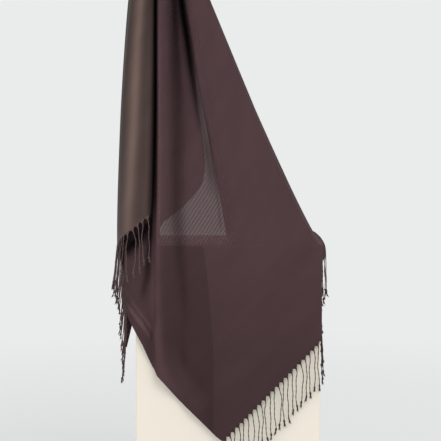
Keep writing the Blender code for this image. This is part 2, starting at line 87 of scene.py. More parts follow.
FRONT_HALF = (
    Rail("tucked end", -186, 1.6, 0.000, -0.1640, -0.0400, 0.010, -0.1680, -0.0400, -0.0250),
    Rail("left side", -166, 1.6, 0.000, -0.1640, -0.0850, 0.010, -0.1710, -0.0850, -0.0600),
    Rail("left silhouette", -146, 1.6, -0.008, -0.1630, -0.1230, 0.008, -0.1700, -0.1260, -0.0860),
    Rail("plinth corner", -132, 1.5, -0.016, -0.1530, -0.1520, 0.006, -0.1550, -0.1560, -0.1300),
    Rail("lower left", -118, 1.3, -0.024, -0.1360, -0.1550, 0.004, -0.1380, -0.1585, -0.1610),
    Rail("deep crease", -106, 1.0, -0.028, -0.1210, -0.1540, 0.004, -0.1225, -0.1555, -0.1960),
    Rail("front fold", -90, 1.3, 0.006, -0.1120, -0.1680, 0.004, -0.1110, -0.1670, -0.2130),
    Rail("groove", -76, 2.6, -0.010, -0.0820, -0.1560, 0.004, -0.0800, -0.1570, -0.2500),
    Rail("second fold", -68, 2.0, 0.001, -0.0630, -0.1600, 0.004, -0.0620, -0.1605, -0.2670),
    Rail("shadowed wedge", -61, 1.6, -0.012, -0.0290, -0.1575, 0.004, -0.0310, -0.1590, -0.2980),
    Rail("panel edge", -56, 1.4, 0.000, -0.0190, -0.1575, 0.004, -0.0195, -0.1600, -0.3095),
    Rail("front corner", -51, 1.3, 0.000, -0.0085, -0.1575, 0.004, -0.0095, -0.1610, -0.3167),
    Rail("patch border", -46, 1.2, 0.000, 0.0100, -0.1578, 0.004, 0.0100, -0.1605, -0.2966),
    Rail("panel left", -42, 1.1, 0.000, 0.0350, -0.1580, 0.004, 0.0350, -0.1600, -0.2708),
    Rail("panel middle", -36, 1.0, 0.001, 0.0920, -0.1580, 0.004, 0.0920, -0.1590, -0.2121),
    Rail("panel right", -29, 0.93, 0.000, 0.1280, -0.1575, 0.004, 0.1330, -0.1580, -0.1698),
    Rail("silhouette", -24, 0.87, 0.000, 0.1400, -0.1550, 0.005, 0.1465, -0.1560, -0.1560),
    Rail("round the corner", -15, 0.87, 0.000, 0.1440, -0.1490, 0.006, 0.1518, -0.1522, -0.1500),
    Rail("past the corner", -8, 0.87, 0.000, 0.1450, -0.1420, 0.006, 0.1531, -0.1435, -0.1410),
    Rail("side front", 2, 0.9, -0.003, 0.1485, -0.1000, 0.006, 0.1550, -0.1000, -0.1050),
    Rail("side trough", 10, 0.9, -0.006, 0.1480, -0.0500, 0.008, 0.1590, -0.0500, -0.0740),
    Rail("side ridge", 18, 0.9, -0.002, 0.1480, 0.0050, 0.010, 0.1630, 0.0050, -0.0450),
    Rail("flare", 26, 0.9, -0.004, 0.1480, 0.0500, 0.012, 0.1800, 0.0500, -0.0310),
    Rail("side back", 33, 1.0, -0.003, 0.1490, 0.1000, 0.010, 0.1620, 0.1000, -0.0290),
    Rail("back corner", 40, 1.0, 0.000, 0.1500, 0.1412, 0.008, 0.1595, 0.1448, -0.0280),
    Rail("turned corner", 44, 1.0, 0.000, 0.1430, 0.1530, 0.006, 0.1450, 0.1600, -0.0280),
    Rail("back trough", 52, 1.0, -0.006, 0.1100, 0.1540, 0.004, 0.1100, 0.1570, -0.0270),
    Rail("back ridge", 60, 1.0, 0.004, 0.0700, 0.1570, 0.004, 0.0700, 0.1620, -0.0270),
    Rail("second trough", 68, 1.0, -0.005, 0.0330, 0.1540, 0.004, 0.0330, 0.1570, -0.0260),
    Rail("selvedge", 75, 1.06, -0.004, -0.0020, 0.1550, 0.004, -0.0020, 0.1580, -0.0260),
)
REAR_HALF = (
    Rail("rear corner", -236, 2.2, 0.000, -0.2020, 0.1480, -0.140, -0.1980, 0.1500, -0.2180),
    Rail("rear trough", -222, 2.1, -0.004, -0.1900, 0.1180, -0.100, -0.1900, 0.1200, -0.1700),
    Rail("rear ridge", -208, 1.9, 0.001, -0.1870, 0.0700, -0.060, -0.1870, 0.0700, -0.1100),
    Rail("side trough", -190, 1.9, -0.004, -0.1840, 0.0180, -0.030, -0.1850, 0.0180, -0.0600),
    Rail("side ridge", -172, 1.9, 0.001, -0.1870, -0.0350, 0.000, -0.1870, -0.0350, -0.0260),
    Rail("silhouette", -154, 1.9, 0.000, -0.1860, -0.0830, 0.020, -0.1860, -0.0830, -0.0040),
    Rail("bright ridge", -136, 1.9, 0.002, -0.1790, -0.1270, 0.040, -0.1790, -0.1270, 0.0080),
    Rail("round front", -122, 0.9, 0.003, -0.1610, -0.1660, 0.060, -0.1610, -0.1660, 0.0220),
    Rail("front trough", -106, 0.8, -0.003, -0.1420, -0.1640, 0.070, -0.1420, -0.1640, 0.0390),
    Rail("front border", -97, 2.3, -0.010, -0.1235, -0.1605, 0.090, -0.1240, -0.1610, 0.0520),
)

# The rear half's free selvedge, which swings round behind
SelvedgePoint = namedtuple("SelvedgePoint", "z x y")
REAR_SELVEDGE = (
    SelvedgePoint(0.600, -0.1130, 0.0220),
    SelvedgePoint(0.410, -0.0710, 0.0680),
    SelvedgePoint(0.264, -0.0560, 0.1020),
    SelvedgePoint(0.130, -0.0415, 0.1360),
    SelvedgePoint(0.105, -0.0450, 0.1430),
    SelvedgePoint(0.075, -0.0640, 0.1500),
    SelvedgePoint(0.045, -0.0940, 0.1570),
    SelvedgePoint(0.022, -0.1240, 0.1610),
    SelvedgePoint(-0.100, -0.1640, 0.1620),
    SelvedgePoint(-0.216, -0.1930, 0.1560),
)
REAR_BULGE = 0.010  # how far the rear panel bellies out between its two borders
REAR_WIDE = 0.08  # where it's narrower than this, it bellies less
REAR_COLUMNS = 40

# The layer folded under the front, against the plinth: x of its left and right borders by height
UnderRow = namedtuple("UnderRow", "z left right")
UNDER = (
    UnderRow(-0.001, -0.1090, -0.0400),
    UnderRow(-0.040, -0.1090, -0.0345),
    UnderRow(-0.088, -0.1085, -0.0298),
    UnderRow(-0.150, -0.1040, -0.0247),
    UnderRow(-0.200, -0.0740, -0.0236),
    UnderRow(-0.245, -0.0400, -0.0233),
)
UNDER_Y = -0.1535
UNDER_WAVE, UNDER_WAVE_RUN = 0.0004, 0.006  # its slight waves: their height, and metres for each radian
UNDER_COLUMNS = 25
UNDER_ROWS = 61

# Creases laid over the fall. A crease is a soft ridge, or a trough where its height is below 0, along a path
# on one side of the drape: (across, up) pairs, where across is x on the front or back and y on a side.
Crease = namedtuple("Crease", "name side width height path")
FRONT_CREASES = (
    Crease("upper slant", "front", 0.0042, 0.0034, ((-0.169, -0.088), (-0.148, -0.116), (-0.126, -0.144))),
    Crease("lower slant", "front", 0.0036, 0.0030, ((-0.161, -0.084), (-0.143, -0.108), (-0.123, -0.133))),
    Crease("slant trough", "front", 0.0030, -0.0020, ((-0.165, -0.087), (-0.146, -0.112), (-0.125, -0.139))),
    Crease("lip roll", "front", 0.009, 0.0045, (
        (-0.112, -0.140), (-0.106, -0.188), (-0.078, -0.226), (-0.040, -0.266))),
    Crease("lip trough", "front", 0.010, -0.0025, (
        (-0.092, -0.130), (-0.080, -0.180), (-0.058, -0.217), (-0.030, -0.246))),
    Crease("panel ray 1", "front", 0.008, 0.0014, ((-0.058, 0.411), (-0.008, 0.172), (0.020, 0.010))),
    Crease("panel ray 2", "front", 0.010, 0.0014, ((-0.050, 0.411), (0.024, 0.172), (0.066, 0.004))),
    Crease("panel ray 3", "front", 0.008, 0.0014, ((-0.044, 0.411), (0.044, 0.172), (0.105, 0.000))),
    Crease("corner slack", "front", 0.014, 0.0014, ((0.030, -0.150), (0.075, -0.090), (0.125, -0.045))),
    Crease("corner fall", "front", 0.012, -0.0014, ((0.000, -0.200), (0.055, -0.130), (0.115, -0.085))),
    Crease("side slack 1", "right", 0.012, 0.0036, ((-0.026, 0.360), (-0.055, 0.120), (-0.070, -0.060))),
    Crease("side slack 2", "right", 0.013, 0.0042, ((0.000, 0.300), (0.020, 0.120), (0.030, -0.010))),
    Crease("side slack 3", "right", 0.011, -0.0032, ((0.030, 0.300), (0.070, 0.120), (0.078, -0.010))),
    Crease("back slack 1", "back", 0.013, 0.0040, ((-0.040, 0.330), (0.045, 0.120), (0.090, 0.006))),
    Crease("back slack 2", "back", 0.011, -0.0030, ((-0.060, 0.330), (0.030, 0.120), (0.056, 0.006))),
)
REAR_CREASES = (
    Crease("side slack 1", "left", 0.013, 0.0036, ((-0.010, 0.420), (-0.025, 0.180), (-0.040, 0.010))),
    Crease("side slack 2", "left", 0.014, 0.0042, ((0.010, 0.380), (0.040, 0.120), (0.070, -0.080))),
    Crease("side slack 3", "left", 0.011, -0.0034, ((0.005, 0.380), (0.012, 0.120), (0.016, -0.040))),
    Crease("back slack", "back", 0.013, 0.0038, ((-0.125, 0.380), (-0.120, 0.150), (-0.165, -0.080))),
    Crease("back dip", "back", 0.011, -0.0030, ((-0.105, 0.380), (-0.090, 0.150), (-0.140, 0.000))),
)
# Painted shade in narrow hollows where little light gets in. A point is (across, up, width, depth): depth is
# how much darker the cloth is painted there, and below 0 it is painted lighter, a painted highlight where
# a fold or the satin turns to the light.
Shade = namedtuple("Shade", "name side path")
FRONT_SHADES = (
    Shade("gap", "front", (
        (-0.1227, 0.430, 0.0036, 0.97), (-0.1212, 0.305, 0.0036, 0.97), (-0.1209, 0.204, 0.0034, 0.97),
        (-0.1217, 0.130, 0.0034, 0.97), (-0.1221, 0.073, 0.0036, 0.97), (-0.1238, 0.048, 0.0040, 0.98),
        (-0.1252, 0.010, 0.0046, 0.92), (-0.1278, -0.024, 0.0060, 0.70), (-0.1297, -0.048, 0.0070, 0.62),
        (-0.1359, -0.073, 0.0045, 0.45), (-0.1400, -0.092, 0.0040, 0.00))),
    Shade("groove", "front", (
        (-0.0915, 0.430, 0.0085, 0.62), (-0.0887, 0.305, 0.0085, 0.56), (-0.0860, 0.240, 0.0100, 0.50),
        (-0.0842, 0.106, 0.0110, 0.46), (-0.0830, 0.049, 0.0110, 0.42), (-0.0773, -0.026, 0.0100, 0.32),
        (-0.0709, -0.088, 0.0100, 0.18), (-0.0640, -0.150, 0.0100, 0.00))),
    Shade("wedge", "front", (
        (-0.0820, 0.430, 0.0085, 0.99), (-0.0738, 0.374, 0.0085, 0.99), (-0.0678, 0.339, 0.0075, 0.98),
        (-0.0634, 0.305, 0.0065, 0.94), (-0.0580, 0.271, 0.0060, 0.82), (-0.0538, 0.240, 0.0055, 0.66),
        (-0.0510, 0.220, 0.0050, 0.46), (-0.0480, 0.196, 0.0045, 0.20), (-0.0455, 0.180, 0.0040, 0.00))),
    Shade("fold in shade", "front", (
        (-0.0850, 0.430, 0.0130, 0.35), (-0.0760, 0.330, 0.0130, 0.35), (-0.0690, 0.240, 0.0120, 0.25),
        (-0.0640, 0.130, 0.0100, 0.00))),
    Shade("strip", "front", (
        (-0.0480, 0.255, 0.0040, 0.22), (-0.0415, 0.200, 0.0050, 0.26), (-0.0330, 0.150, 0.0070, 0.34),
        (-0.0270, 0.115, 0.0080, 0.30), (-0.0200, 0.075, 0.0100, 0.00))),
    Shade("panel's shade line", "front", (
        (-0.0390, 0.218, 0.0020, 0.30), (-0.0305, 0.175, 0.0022, 0.36), (-0.0238, 0.130, 0.0022, 0.30),
        (-0.0190, 0.100, 0.0024, 0.22), (-0.0120, 0.030, 0.0026, 0.16))),
    Shade("under the curtain", "front", (
        (-0.1285, 0.036, 0.0075, 0.98), (-0.1360, 0.022, 0.0160, 0.98), (-0.1467, 0.011, 0.0150, 0.98),
        (-0.1625, -0.006, 0.0120, 0.96))),
    Shade("front fold's light", "front", (
        (-0.1165, 0.430, 0.0075, -0.12), (-0.1160, 0.300, 0.0075, -0.28), (-0.1160, 0.150, 0.0080, -0.35),
        (-0.1180, 0.060, 0.0075, -0.55), (-0.1185, -0.060, 0.0075, -0.50), (-0.1150, -0.130, 0.0085, -0.35),
        (-0.1120, -0.190, 0.0090, -0.40), (-0.1000, -0.218, 0.0090, -0.36), (-0.0706, -0.246, 0.0080, -0.20),
        (-0.0353, -0.274, 0.0070, 0.00))),
    Shade("top's light", "front", ((-0.1040, 0.0085, 0.0075, -0.15), (-0.0040, 0.0085, 0.0075, -0.15))),
    Shade("upper slant's light", "front", (
        (-0.160, -0.098, 0.0030, -0.60), (-0.148, -0.116, 0.0032, -0.95), (-0.128, -0.142, 0.0032, -0.65))),
    Shade("lower slant's light", "front", (
        (-0.154, -0.094, 0.0028, -0.40), (-0.143, -0.108, 0.0028, -0.60), (-0.125, -0.131, 0.0028, -0.45))),
    Shade("side's light", "right", ((-0.0800, -0.010, 0.0260, -0.45), (0.0000, -0.015, 0.0260, -0.45))),
    Shade("flare's shade", "right", (
        (0.0450, 0.070, 0.0180, 0.00), (0.0500, 0.020, 0.0200, 0.28), (0.0560, -0.040, 0.0220, 0.32))),
)
# Painted shade on the rear half's turned edge and flanks, and a painted highlight along its lit satin ridge
REAR_SHADES = (
    Shade("turned edge", "front", (
        (-0.1225, 0.430, 0.0058, 0.80), (-0.1222, 0.304, 0.0058, 0.80), (-0.1218, 0.204, 0.0058, 0.80),
        (-0.1225, 0.130, 0.0055, 0.80), (-0.1245, 0.050, 0.0050, 0.75))),
    Shade("inner flank", "front", (
        (-0.1351, 0.407, 0.0140, 0.34), (-0.1370, 0.304, 0.0140, 0.34), (-0.1388, 0.204, 0.0140, 0.30),
        (-0.1406, 0.106, 0.0140, 0.26), (-0.1430, 0.050, 0.0140, 0.22))),
    Shade("outer flank", "front", (
        (-0.1619, 0.407, 0.0050, 0.30), (-0.1672, 0.329, 0.0060, 0.32), (-0.1724, 0.254, 0.0070, 0.36),
        (-0.1750, 0.171, 0.0080, 0.38), (-0.1758, 0.090, 0.0080, 0.36), (-0.1753, 0.023, 0.0080, 0.30))),
    Shade("outer edge", "left", (
        (-0.0060, 0.590, 0.0120, 0.30), (-0.0300, 0.400, 0.0200, 0.50), (-0.0640, 0.200, 0.0250, 0.50),
        (-0.0900, 0.000, 0.0260, 0.45))),
    Shade("lit ridge", "front", (
        (-0.1450, 0.407, 0.0070, -1.00), (-0.1496, 0.329, 0.0080, -1.05), (-0.1516, 0.270, 0.0085, -1.05),
        (-0.1528, 0.204, 0.0090, -1.05), (-0.1570, 0.120, 0.0095, -0.95), (-0.1630, 0.023, 0.0095, -0.70))),
)
LOWER_SHADE = 0.24  # painted shade: how much darker the cloth is painted from the plinth's edge down to the front corner
LOWER_FROM, LOWER_TO = -0.06, 0.32  # metres below the plinth's top where that begins and ends

# The axis that runs across each side, and the direction it faces
SIDES = {"front": (0, (0, -1, 0)), "back": (0, (0, 1, 0)), "left": (1, (-1, 0, 0)), "right": (1, (1, 0, 0))}
SIDE_FADE = 0.3  # how far the cloth's normal may turn from a side while creases and shades fade

# The weave runs with the front corner: along the fringed end, and along the selvedge
WEFT = (0.6965, 0.7175)
WARP = (-0.7175, 0.6965)
SHEER_FROM, SHEER_TO = "front fold", "patch border"  # between these rails one layer hangs against open air


# ---------------------------------------------------------------------------- settings


class ScarfSettings(bpy.types.PropertyGroup):
    gauge: FloatProperty(
        name="Cloth gauge", description="Thickness of the cloth", default=0.0006, min=0.0002, unit="LENGTH")
    twill_spacing: FloatProperty(
        name="Twill spacing", description="From one twill line to the next, drawn coarse enough to show",
        default=0.0034, min=0.0005, unit="LENGTH")
    strand_length: FloatProperty(
        name="Strand length", description="Fringe strand from edge to tip",
        default=0.084, min=0.02, unit="LENGTH")
    strand_radius: FloatProperty(
        name="Strand radius", description="Half a twisted strand's thickness",
        default=0.0007, min=0.0002, unit="LENGTH")
    strand_pitch: FloatProperty(
        name="Strand pitch", description="Space between strands along the cloth's edge",
        default=0.0103, min=0.003, unit="LENGTH")
    sheer_cover: FloatProperty(
        name="Sheer cover", description="How much one layer of the cloth hides",
        default=0.945, min=0.5, max=1.0, subtype="FACTOR")


class FinishSettings(bpy.types.PropertyGroup):
    plum: StringProperty(name="Plum face", description="sRGB colour of the cloth's face", default="4b383a")
    satin: StringProperty(name="Satin side", description="sRGB colour of the satin side", default="50413d")
    yarn: StringProperty(name="Yarn", description="sRGB colour of the front half's strands", default="34261f")
    # Painted light: the rear half's strands are the same yarn, given a lighter colour where they catch the
    # light
    painted_lit_yarn: StringProperty(
        name="Lit yarn", description="sRGB colour of the rear half's strands", default="574344")
    cream: StringProperty(name="Cream paint", description="sRGB colour of the plinth", default="ece3d6")
    steel: StringProperty(name="Steel", description="sRGB colour of the post", default="cbcac6")


class StageSettings(bpy.types.PropertyGroup):
    wall: StringProperty(name="Surround", description="sRGB colour of the studio around", default="eaecec")
    floor: StringProperty(name="Floor", description="sRGB colour of the floor", default="e8e8e8")
    key_power: FloatProperty(
        name="Key light", description="Power of the key light", default=38.0, min=0, unit="POWER")
    fill_power: FloatProperty(
        name="Fill light", description="Power of the fill light", default=8.0, min=0, unit="POWER")
    lens: FloatProperty(
        name="Lens", description="Focal length on a 36 mm sensor", default=80.98, min=10, unit="CAMERA")


# ---------------------------------------------------------------------------- shapes


def smooth_steps(knots, values, at):
    """Monotone cubic curve through values, so that a ridge or a trough stays at its own row.

    Between two knots it is the Hermite cubic whose end slopes are the harmonic mean of the slopes on both
    sides, or zero where those slopes turn back.
    """
    knots, values, at = (np.asarray(a, float) for a in (knots, values, at))
    gaps = np.diff(knots)
    slopes = np.diff(values) / gaps
    tangents = np.zeros_like(values)
    tangents[0], tangents[-1] = slopes[0], slopes[-1]
    same_way = slopes[:-1] * slopes[1:] > 0
    total = np.where(same_way, slopes[:-1] + slopes[1:], 1.0)
    tangents[1:-1] = np.where(same_way, 2 * slopes[:-1] * slopes[1:] / total, 0.0)
    k = np.clip(np.searchsorted(knots, at, side="right") - 1, 0, len(gaps) - 1)
    u = (at - knots[k]) / gaps[k]
    rise = (1 + 2 * u) * (1 - u) ** 2 * values[k] + u**2 * (3 - 2 * u) * values[k + 1]
    return rise + gaps[k] * (u * (1 - u) ** 2 * tangents[k] - u**2 * (1 - u) * tangents[k + 1])


def smooth_share(value, start, end):
    """0 below start, 1 above end, and a smooth S between: 3 s squared less 2 s cubed."""
    share = np.clip((value - start) / (end - start), 0.0, 1.0)
    return share * share * (3 - 2 * share)


def unit(vectors):
    return vectors / np.linalg.norm(vectors, axis=-1, keepdims=True)


def rail_columns(rails, between):
    """Each size of the rails at every column of the grid. The hem's height runs straight along the hem."""
    index = np.arange(len(rails))
    at = np.linspace(0, len(rails) - 1, (len(rails) - 1) * between + 1)
    sizes = {f: smooth_steps(index, [getattr(r, f) for r in rails], at) for f in Rail._fields[1:]}
    steps = np.hypot(np.diff(sizes["hem_x"]), np.diff(sizes["hem_y"]))
    along = np.concatenate(([0.0], np.cumsum(steps)))
    sizes["hem_z"] = np.interp(along, along[::between], [r.hem_z for r in rails])
    return sizes


def fall_surface(rails, neck_radius, neck_shift=0.0):
    """The cloth's outer face as rows down the fall by columns round it.

    Fan rows: with t from 0 at the neck to 1 at the plinth's edge, x runs as 1 - (1 - t) to the ease, y and z
    run straight, and the fold lifts the row away from the post by an S up and an S down. Drop rows: with v
    from 0 at the edge to 1 at the hem, the cloth turns down at once, or goes out as v (2 - v) at a flare.
    """
    s = rail_columns(rails, BETWEEN)
    turn = np.radians(s["turn"])
    neck_x = POST_X + neck_shift + neck_radius * np.cos(turn)
    neck_y = neck_radius * np.sin(turn)
    t = np.linspace(0, 1, FAN_ROWS)[:, None]
    x = neck_x + (s["edge_x"] - neck_x) * (1 - (1 - t) ** s["ease"])
    y = neck_y + (s["edge_y"] - neck_y) * t
    z = NECK_RISE + (s["edge_z"] - NECK_RISE) * t
    away_x, away_y = s["edge_x"] - POST_X, s["edge_y"]
    reach = np.hypot(away_x, away_y)
    fold = s["fold"] * smooth_share(t, FOLD_START, FOLD_FULL) * (1 - smooth_share(t, FOLD_FULL, FOLD_END))
    fan = np.stack([x + fold * away_x / reach, y + fold * away_y / reach, z], axis=-1)
    v = np.linspace(0, 1, DROP_ROWS + 1)[1:, None] ** DROP_CROWDING
    flare = smooth_share(np.hypot(s["hem_x"] - s["edge_x"], s["hem_y"] - s["edge_y"]), *FLARE)
    close = smooth_share(v * (s["edge_z"] - s["hem_z"]), 0.0, TURN_DOWN)
    out, down = flare * v * (2 - v) + (1 - flare) * close, v ** (1 + 0.5 * flare)
    shares = zip("xyz", (out, out, down))
    drop = [s["edge_" + k] + (s["hem_" + k] - s["edge_" + k]) * share for k, share in shares]
    surface = np.concatenate([fan, np.stack(drop, axis=-1)])
    surface[..., 2] += PLINTH_TOP
    return surface


def outward(surface):
    """Unit normals of a grid whose rows run down and whose columns run anticlockwise from above."""
    return unit(np.cross(np.gradient(surface, axis=0), np.gradient(surface, axis=1)))


def beside(surface, side, path):
    """Amount times exp(-(distance to the path / width) squared), fading where the cloth turns from that side.

    A point of the path is (across, up, width, amount), and all four run straight from one point to the next.
    """
    axis, facing = SIDES[side]
    spot = np.stack([surface[..., axis], surface[..., 2] - PLINTH_TOP], -1)
    path = np.array(path)
    near, width, amount = np.full(surface.shape[:2], np.inf), 1.0, 0.0
    for start, end in zip(path[:-1], path[1:]):
        run = (end - start)[:2]
        share = np.clip((spot - start[:2]) @ run / (run @ run), 0, 1)[..., None]
        at = start + share * (end - start)
        distance = np.linalg.norm(spot - at[..., :2], axis=-1)
        closer = distance < near
        near = np.where(closer, distance, near)
        width = np.where(closer, at[..., 2], width)
        amount = np.where(closer, at[..., 3], amount)
    faces_side = smooth_share(outward(surface) @ np.array(facing), -SIDE_FADE, SIDE_FADE)
    return amount * np.exp(-((near / width) ** 2)) * faces_side


def with_creases(surface, creases):
    """Lifts the surface along its normal by each crease's height beside its path."""
    lift = sum(beside(surface, c.side, [(*spot, c.width, c.height) for spot in c.path]) for c in creases)
    return surface + lift[..., None] * outward(surface)


GATHER_DEPTH = 0.0009
GATHER_COLUMNS = 9.0  # columns from one gather to the next
GATHER_WANDER, WANDER_COLUMNS = 1.4, 6.1  # how far their phase wanders, in radians, and how slowly
GATHER_START, GATHER_REACH = 0.02, 0.26  # shares of the fan's rows between which they die out


def with_gathers(surface):
    """Small uneven pleats that start at the neck: the cosine of the column, whose phase wanders by a sine."""
    column = np.arange(surface.shape[1])
    phase = GATHER_WANDER * np.sin(column / WANDER_COLUMNS)
    wave = np.cos(2 * pi * column / GATHER_COLUMNS + phase)
    fade = 1 - smooth_share(np.arange(len(surface)) / FAN_ROWS, GATHER_START, GATHER_REACH)
    return surface + (GATHER_DEPTH * fade[:, None] * wave)[..., None] * outward(surface)


def shade_of(surface, shades):
    """Painted shade: 1 less the light left after every hollow, and after the fall below the plinth's edge."""
    below = PLINTH_TOP - surface[..., 2]
    light = 1 - LOWER_SHADE * smooth_share(below, LOWER_FROM, LOWER_TO)
    for shade in shades:
        light = light * (1 - beside(surface, shade.side, shade.path))
    return 1 - light


def with_rear_panel(side):
    """The rear half whole: its free selvedge, the panel behind the plinth, and the stretch round the left.

    Each row of the panel runs straight from the selvedge's curve to the rear corner, and bellies out by
    half a sine.
    """
    border = side[:, 0]
    fall = [-p.z for p in REAR_SELVEDGE]
    heights = PLINTH_TOP - border[:, 2]
    free_x, free_y = (smooth_steps(fall, [getattr(p, k) for p in REAR_SELVEDGE], heights) for k in "xy")
    free = np.stack([free_x, free_y, border[:, 2]], -1)
    across = np.linspace(0, 1, REAR_COLUMNS, endpoint=False)[None, :, None]
    panel = free[:, None] + (border[:, None] - free[:, None]) * across
    width = np.linalg.norm(border - free, axis=-1)[:, None]
    panel[..., 1] += REAR_BULGE * np.sin(pi * across[..., 0]) * np.minimum(1, width / REAR_WIDE)
    return np.concatenate([panel, side], axis=1)


def weave_map(surface, level_row):
    """Flat coordinates of the cloth in metres, turned to its weave: how far along the weft and the warp.

    Across is measured along the row at the plinth's edge and narrows with each row, and up is the height.
    """
    row = surface[level_row]
    across = np.concatenate(([0.0], np.cumsum(np.linalg.norm(np.diff(row[:, :2], axis=0), axis=1))))
    squeeze = np.linalg.norm(np.diff(surface[..., :2], axis=1), axis=-1).sum(1) / across[-1]
    middle = across[-1] / 2
    flat = (across[None] - middle) * np.minimum(1, squeeze)[:, None]
    up = surface[..., 2]
    return np.stack([WEFT[0] * flat + WEFT[1] * up, WARP[0] * flat + WARP[1] * up], -1)


SHARP_ANGLE = radians(50)  # edges sharper than this stay crisp


def mesh_object(name, points, faces, materials, face_slots=None, corner_uv=None, values=None):
    """Makes a mesh object from arrays: faces is a list of index arrays, one for each number of corners."""
    mesh = bpy.data.meshes.new(name)
    corner_lists = [face for part in faces for face in np.asarray(part).tolist()]
    mesh.from_pydata(np.asarray(points, float).tolist(), [], corner_lists)
    for mat in materials:
        mesh.materials.append(mat)
    if face_slots is not None:
        mesh.polygons.foreach_set("material_index", np.asarray(face_slots, np.int32))
    corners = np.empty(len(mesh.loops), np.int32)
    mesh.loops.foreach_get("vertex_index", corners)
    if corner_uv is not None:
        uv = np.asarray(corner_uv, np.float32)
        uv = uv[corners] if len(uv) == len(mesh.vertices) else uv
        mesh.uv_layers.new(name="cloth").data.foreach_set("uv", uv.ravel())
    for key, value in (values or {}).items():
        layer = mesh.attributes.new(key, "FLOAT", "POINT")
        layer.data.foreach_set("value", np.asarray(value, np.float32).ravel())
    mesh.shade_smooth()
    mesh.set_sharp_from_angle(angle=SHARP_ANGLE)
    mesh.update()
    obj = bpy.data.objects.new(name, mesh)
    bpy.context.scene.collection.objects.link(obj)
    return obj


def cloth_shell(name, surface, gauge, uv, materials, sheer=None, values=None):
    """A closed thin shell: the surface, a copy set in by the gauge, and a rim.

    Both faces of the shell have the same diagonals. Slot 0 is the outer face and the rim, 1 the inner face,
    and 2 the sheer window in both.
    """
    rows, columns = surface.shape[:2]
    count = rows * columns
    inner = surface - gauge * outward(surface)
    outer_at = np.arange(count).reshape(rows, columns)

    def halves(grid):
        a, b, c, d = grid[:-1, :-1], grid[1:, :-1], grid[1:, 1:], grid[:-1, 1:]
        return np.concatenate([np.stack(h, -1).reshape(-1, 3) for h in ((a, b, c), (a, c, d))])

    outside, inside = halves(outer_at), halves(outer_at + count)[:, ::-1]
    ring = np.concatenate([outer_at[0, ::-1], outer_at[1:, 0], outer_at[-1, 1:], outer_at[-2:0:-1, -1]])
    rim = np.stack([ring, ring + count, np.roll(ring, -1) + count, np.roll(ring, -1)], -1)
    window = np.zeros((rows - 1, columns - 1), bool) if sheer is None else sheer
    window = np.tile(window.ravel(), 2)
    slots = np.concatenate([np.where(window, 2, 0), np.where(window, 2, 1), np.zeros(len(rim), int)])
    both = {k: np.tile(v.ravel(), 2) for k, v in (values or {}).items()}
    flat = np.tile(uv.reshape(-1, 2), (2, 1))
    points = np.concatenate([surface.reshape(-1, 3), inner.reshape(-1, 3)])
    return mesh_object(name, points, [outside, inside, rim], materials, slots, flat, both)


def hem_points(surface, start, end, pitch):
    """Points evenly along the hem between two of its columns, the ways out and along there, and the pitch."""
    hem = surface[-1, start:end]
    normal = outward(surface)[-1, start:end]
    along = np.concatenate(([0.0], np.cumsum(np.linalg.norm(np.diff(hem, axis=0), axis=1))))
    count = int(round(along[-1] / pitch))
    at = (np.arange(count) + 0.5) * along[-1] / count
    step = along[-1] / count

    def between(values, run):
        return np.stack([np.interp(run, along, values[:, k]) for k in range(3)], -1)

    tangent = unit(between(hem, at + step / 2) - between(hem, at - step / 2))
    return between(hem, at), unit(between(normal, at)), tangent, step


STRAND_SIDES = 6
ROOT_RUN = (0.0, 0.0015, 0.0035, 0.0060, 0.0095)  # metres from the cloth's edge
ROOT_WIDE = (0.42, 0.34, 0.20, 0.10, 0.0)  # half widths there, as shares of the space between strands
ROOT_THICK = (0.5, 0.7, 0.95, 1.05, 1.0)  # half thickness there, times the strand's radius
BODY_RINGS = 26
KNOT_AT, KNOT_SPREAD = 0.845, 0.03  # shares of the strand's length above the knot, and how far that varies
KNOT_RUN = (-0.0022, -0.0012, 0.0, 0.0012, 0.0022)
KNOT_RADIUS = (1.3, 2.0, 2.3, 2.0, 1.4)  # times the strand's radius
TAIL_RINGS = 4
TAIL_RADIUS = (1.1, 2.0)  # times the strand's radius, where the tail begins and where its plies end
TAIL_SHARE = 0.55  # of the way from the knot to the tip, past which only fibres go on
UNEVEN = 0.11  # how much shorter than the rest a strand may be
STRAND_REACH = 0.006  # how far a strand runs square to the edge before it hangs
TWIST = 0.0085  # one turn of the two plies
PLY_SWELL = 0.22  # how far the plies stand out, as a share of the radius
HANG_FROM, HANG_TO = 0.004, 0.02  # distances from the edge between which a strand starts to sway
TURN_FROM, TURN_TO = 0.002, 0.010  # and between which its flat root turns into the round strand
SWAY_TURNS = 1.3 * pi  # radians of sway down a strand
SWAY_SHIFT = 0.4  # how far the sway is moved up or down, in radians
KINK = 0.0030  # how far a tip bends off beyond its knot
RIPPLE_SIDE, RIPPLE_OUT = 0.0005, 0.00025  # a strand's smaller waves, in metres
RIPPLE_RUN_SIDE, RIPPLE_RUN_OUT = 0.0052, 0.0051  # metres down the strand for each radian of them
FIBRES = 10
FIBRE_SPREAD = 0.0025
FIBRE_FOOT = 0.0015  # how far under the knot's middle they start
FIBRE_RADIUS, FIBRE_STRAY = 0.9, 0.25  # of their feet: times the strand's radius, and shares of the spread
FIBRE_UNEVEN = 0.03  # how much shorter than the strand a fibre may end
FIBRE_UV = ((0.0, 0.0), (0.1, 0.0), (0.05, 1.0))


def strand_runs(knot, tip):
    """Distances from the cloth's edge of every ring, one row for each strand: root, body, knot and tail."""
    body = np.linspace(0, 1, BODY_RINGS + 2)[1:-1]
    body_start, body_end = ROOT_RUN[-1], knot + KNOT_RUN[0]
    tail = np.linspace(0, 1, TAIL_RINGS + 1)[1:]
    tail_start = knot + KNOT_RUN[-1]
    tail_end = tail_start + (tip - tail_start) * TAIL_SHARE
    runs = [
        np.broadcast_to(ROOT_RUN, (len(knot), len(ROOT_RUN))),
        body_start + (body_end - body_start) * body,
        knot + np.array(KNOT_RUN),
        tail_start + (tail_end - tail_start) * tail,
    ]
    return np.concatenate(runs, axis=1)


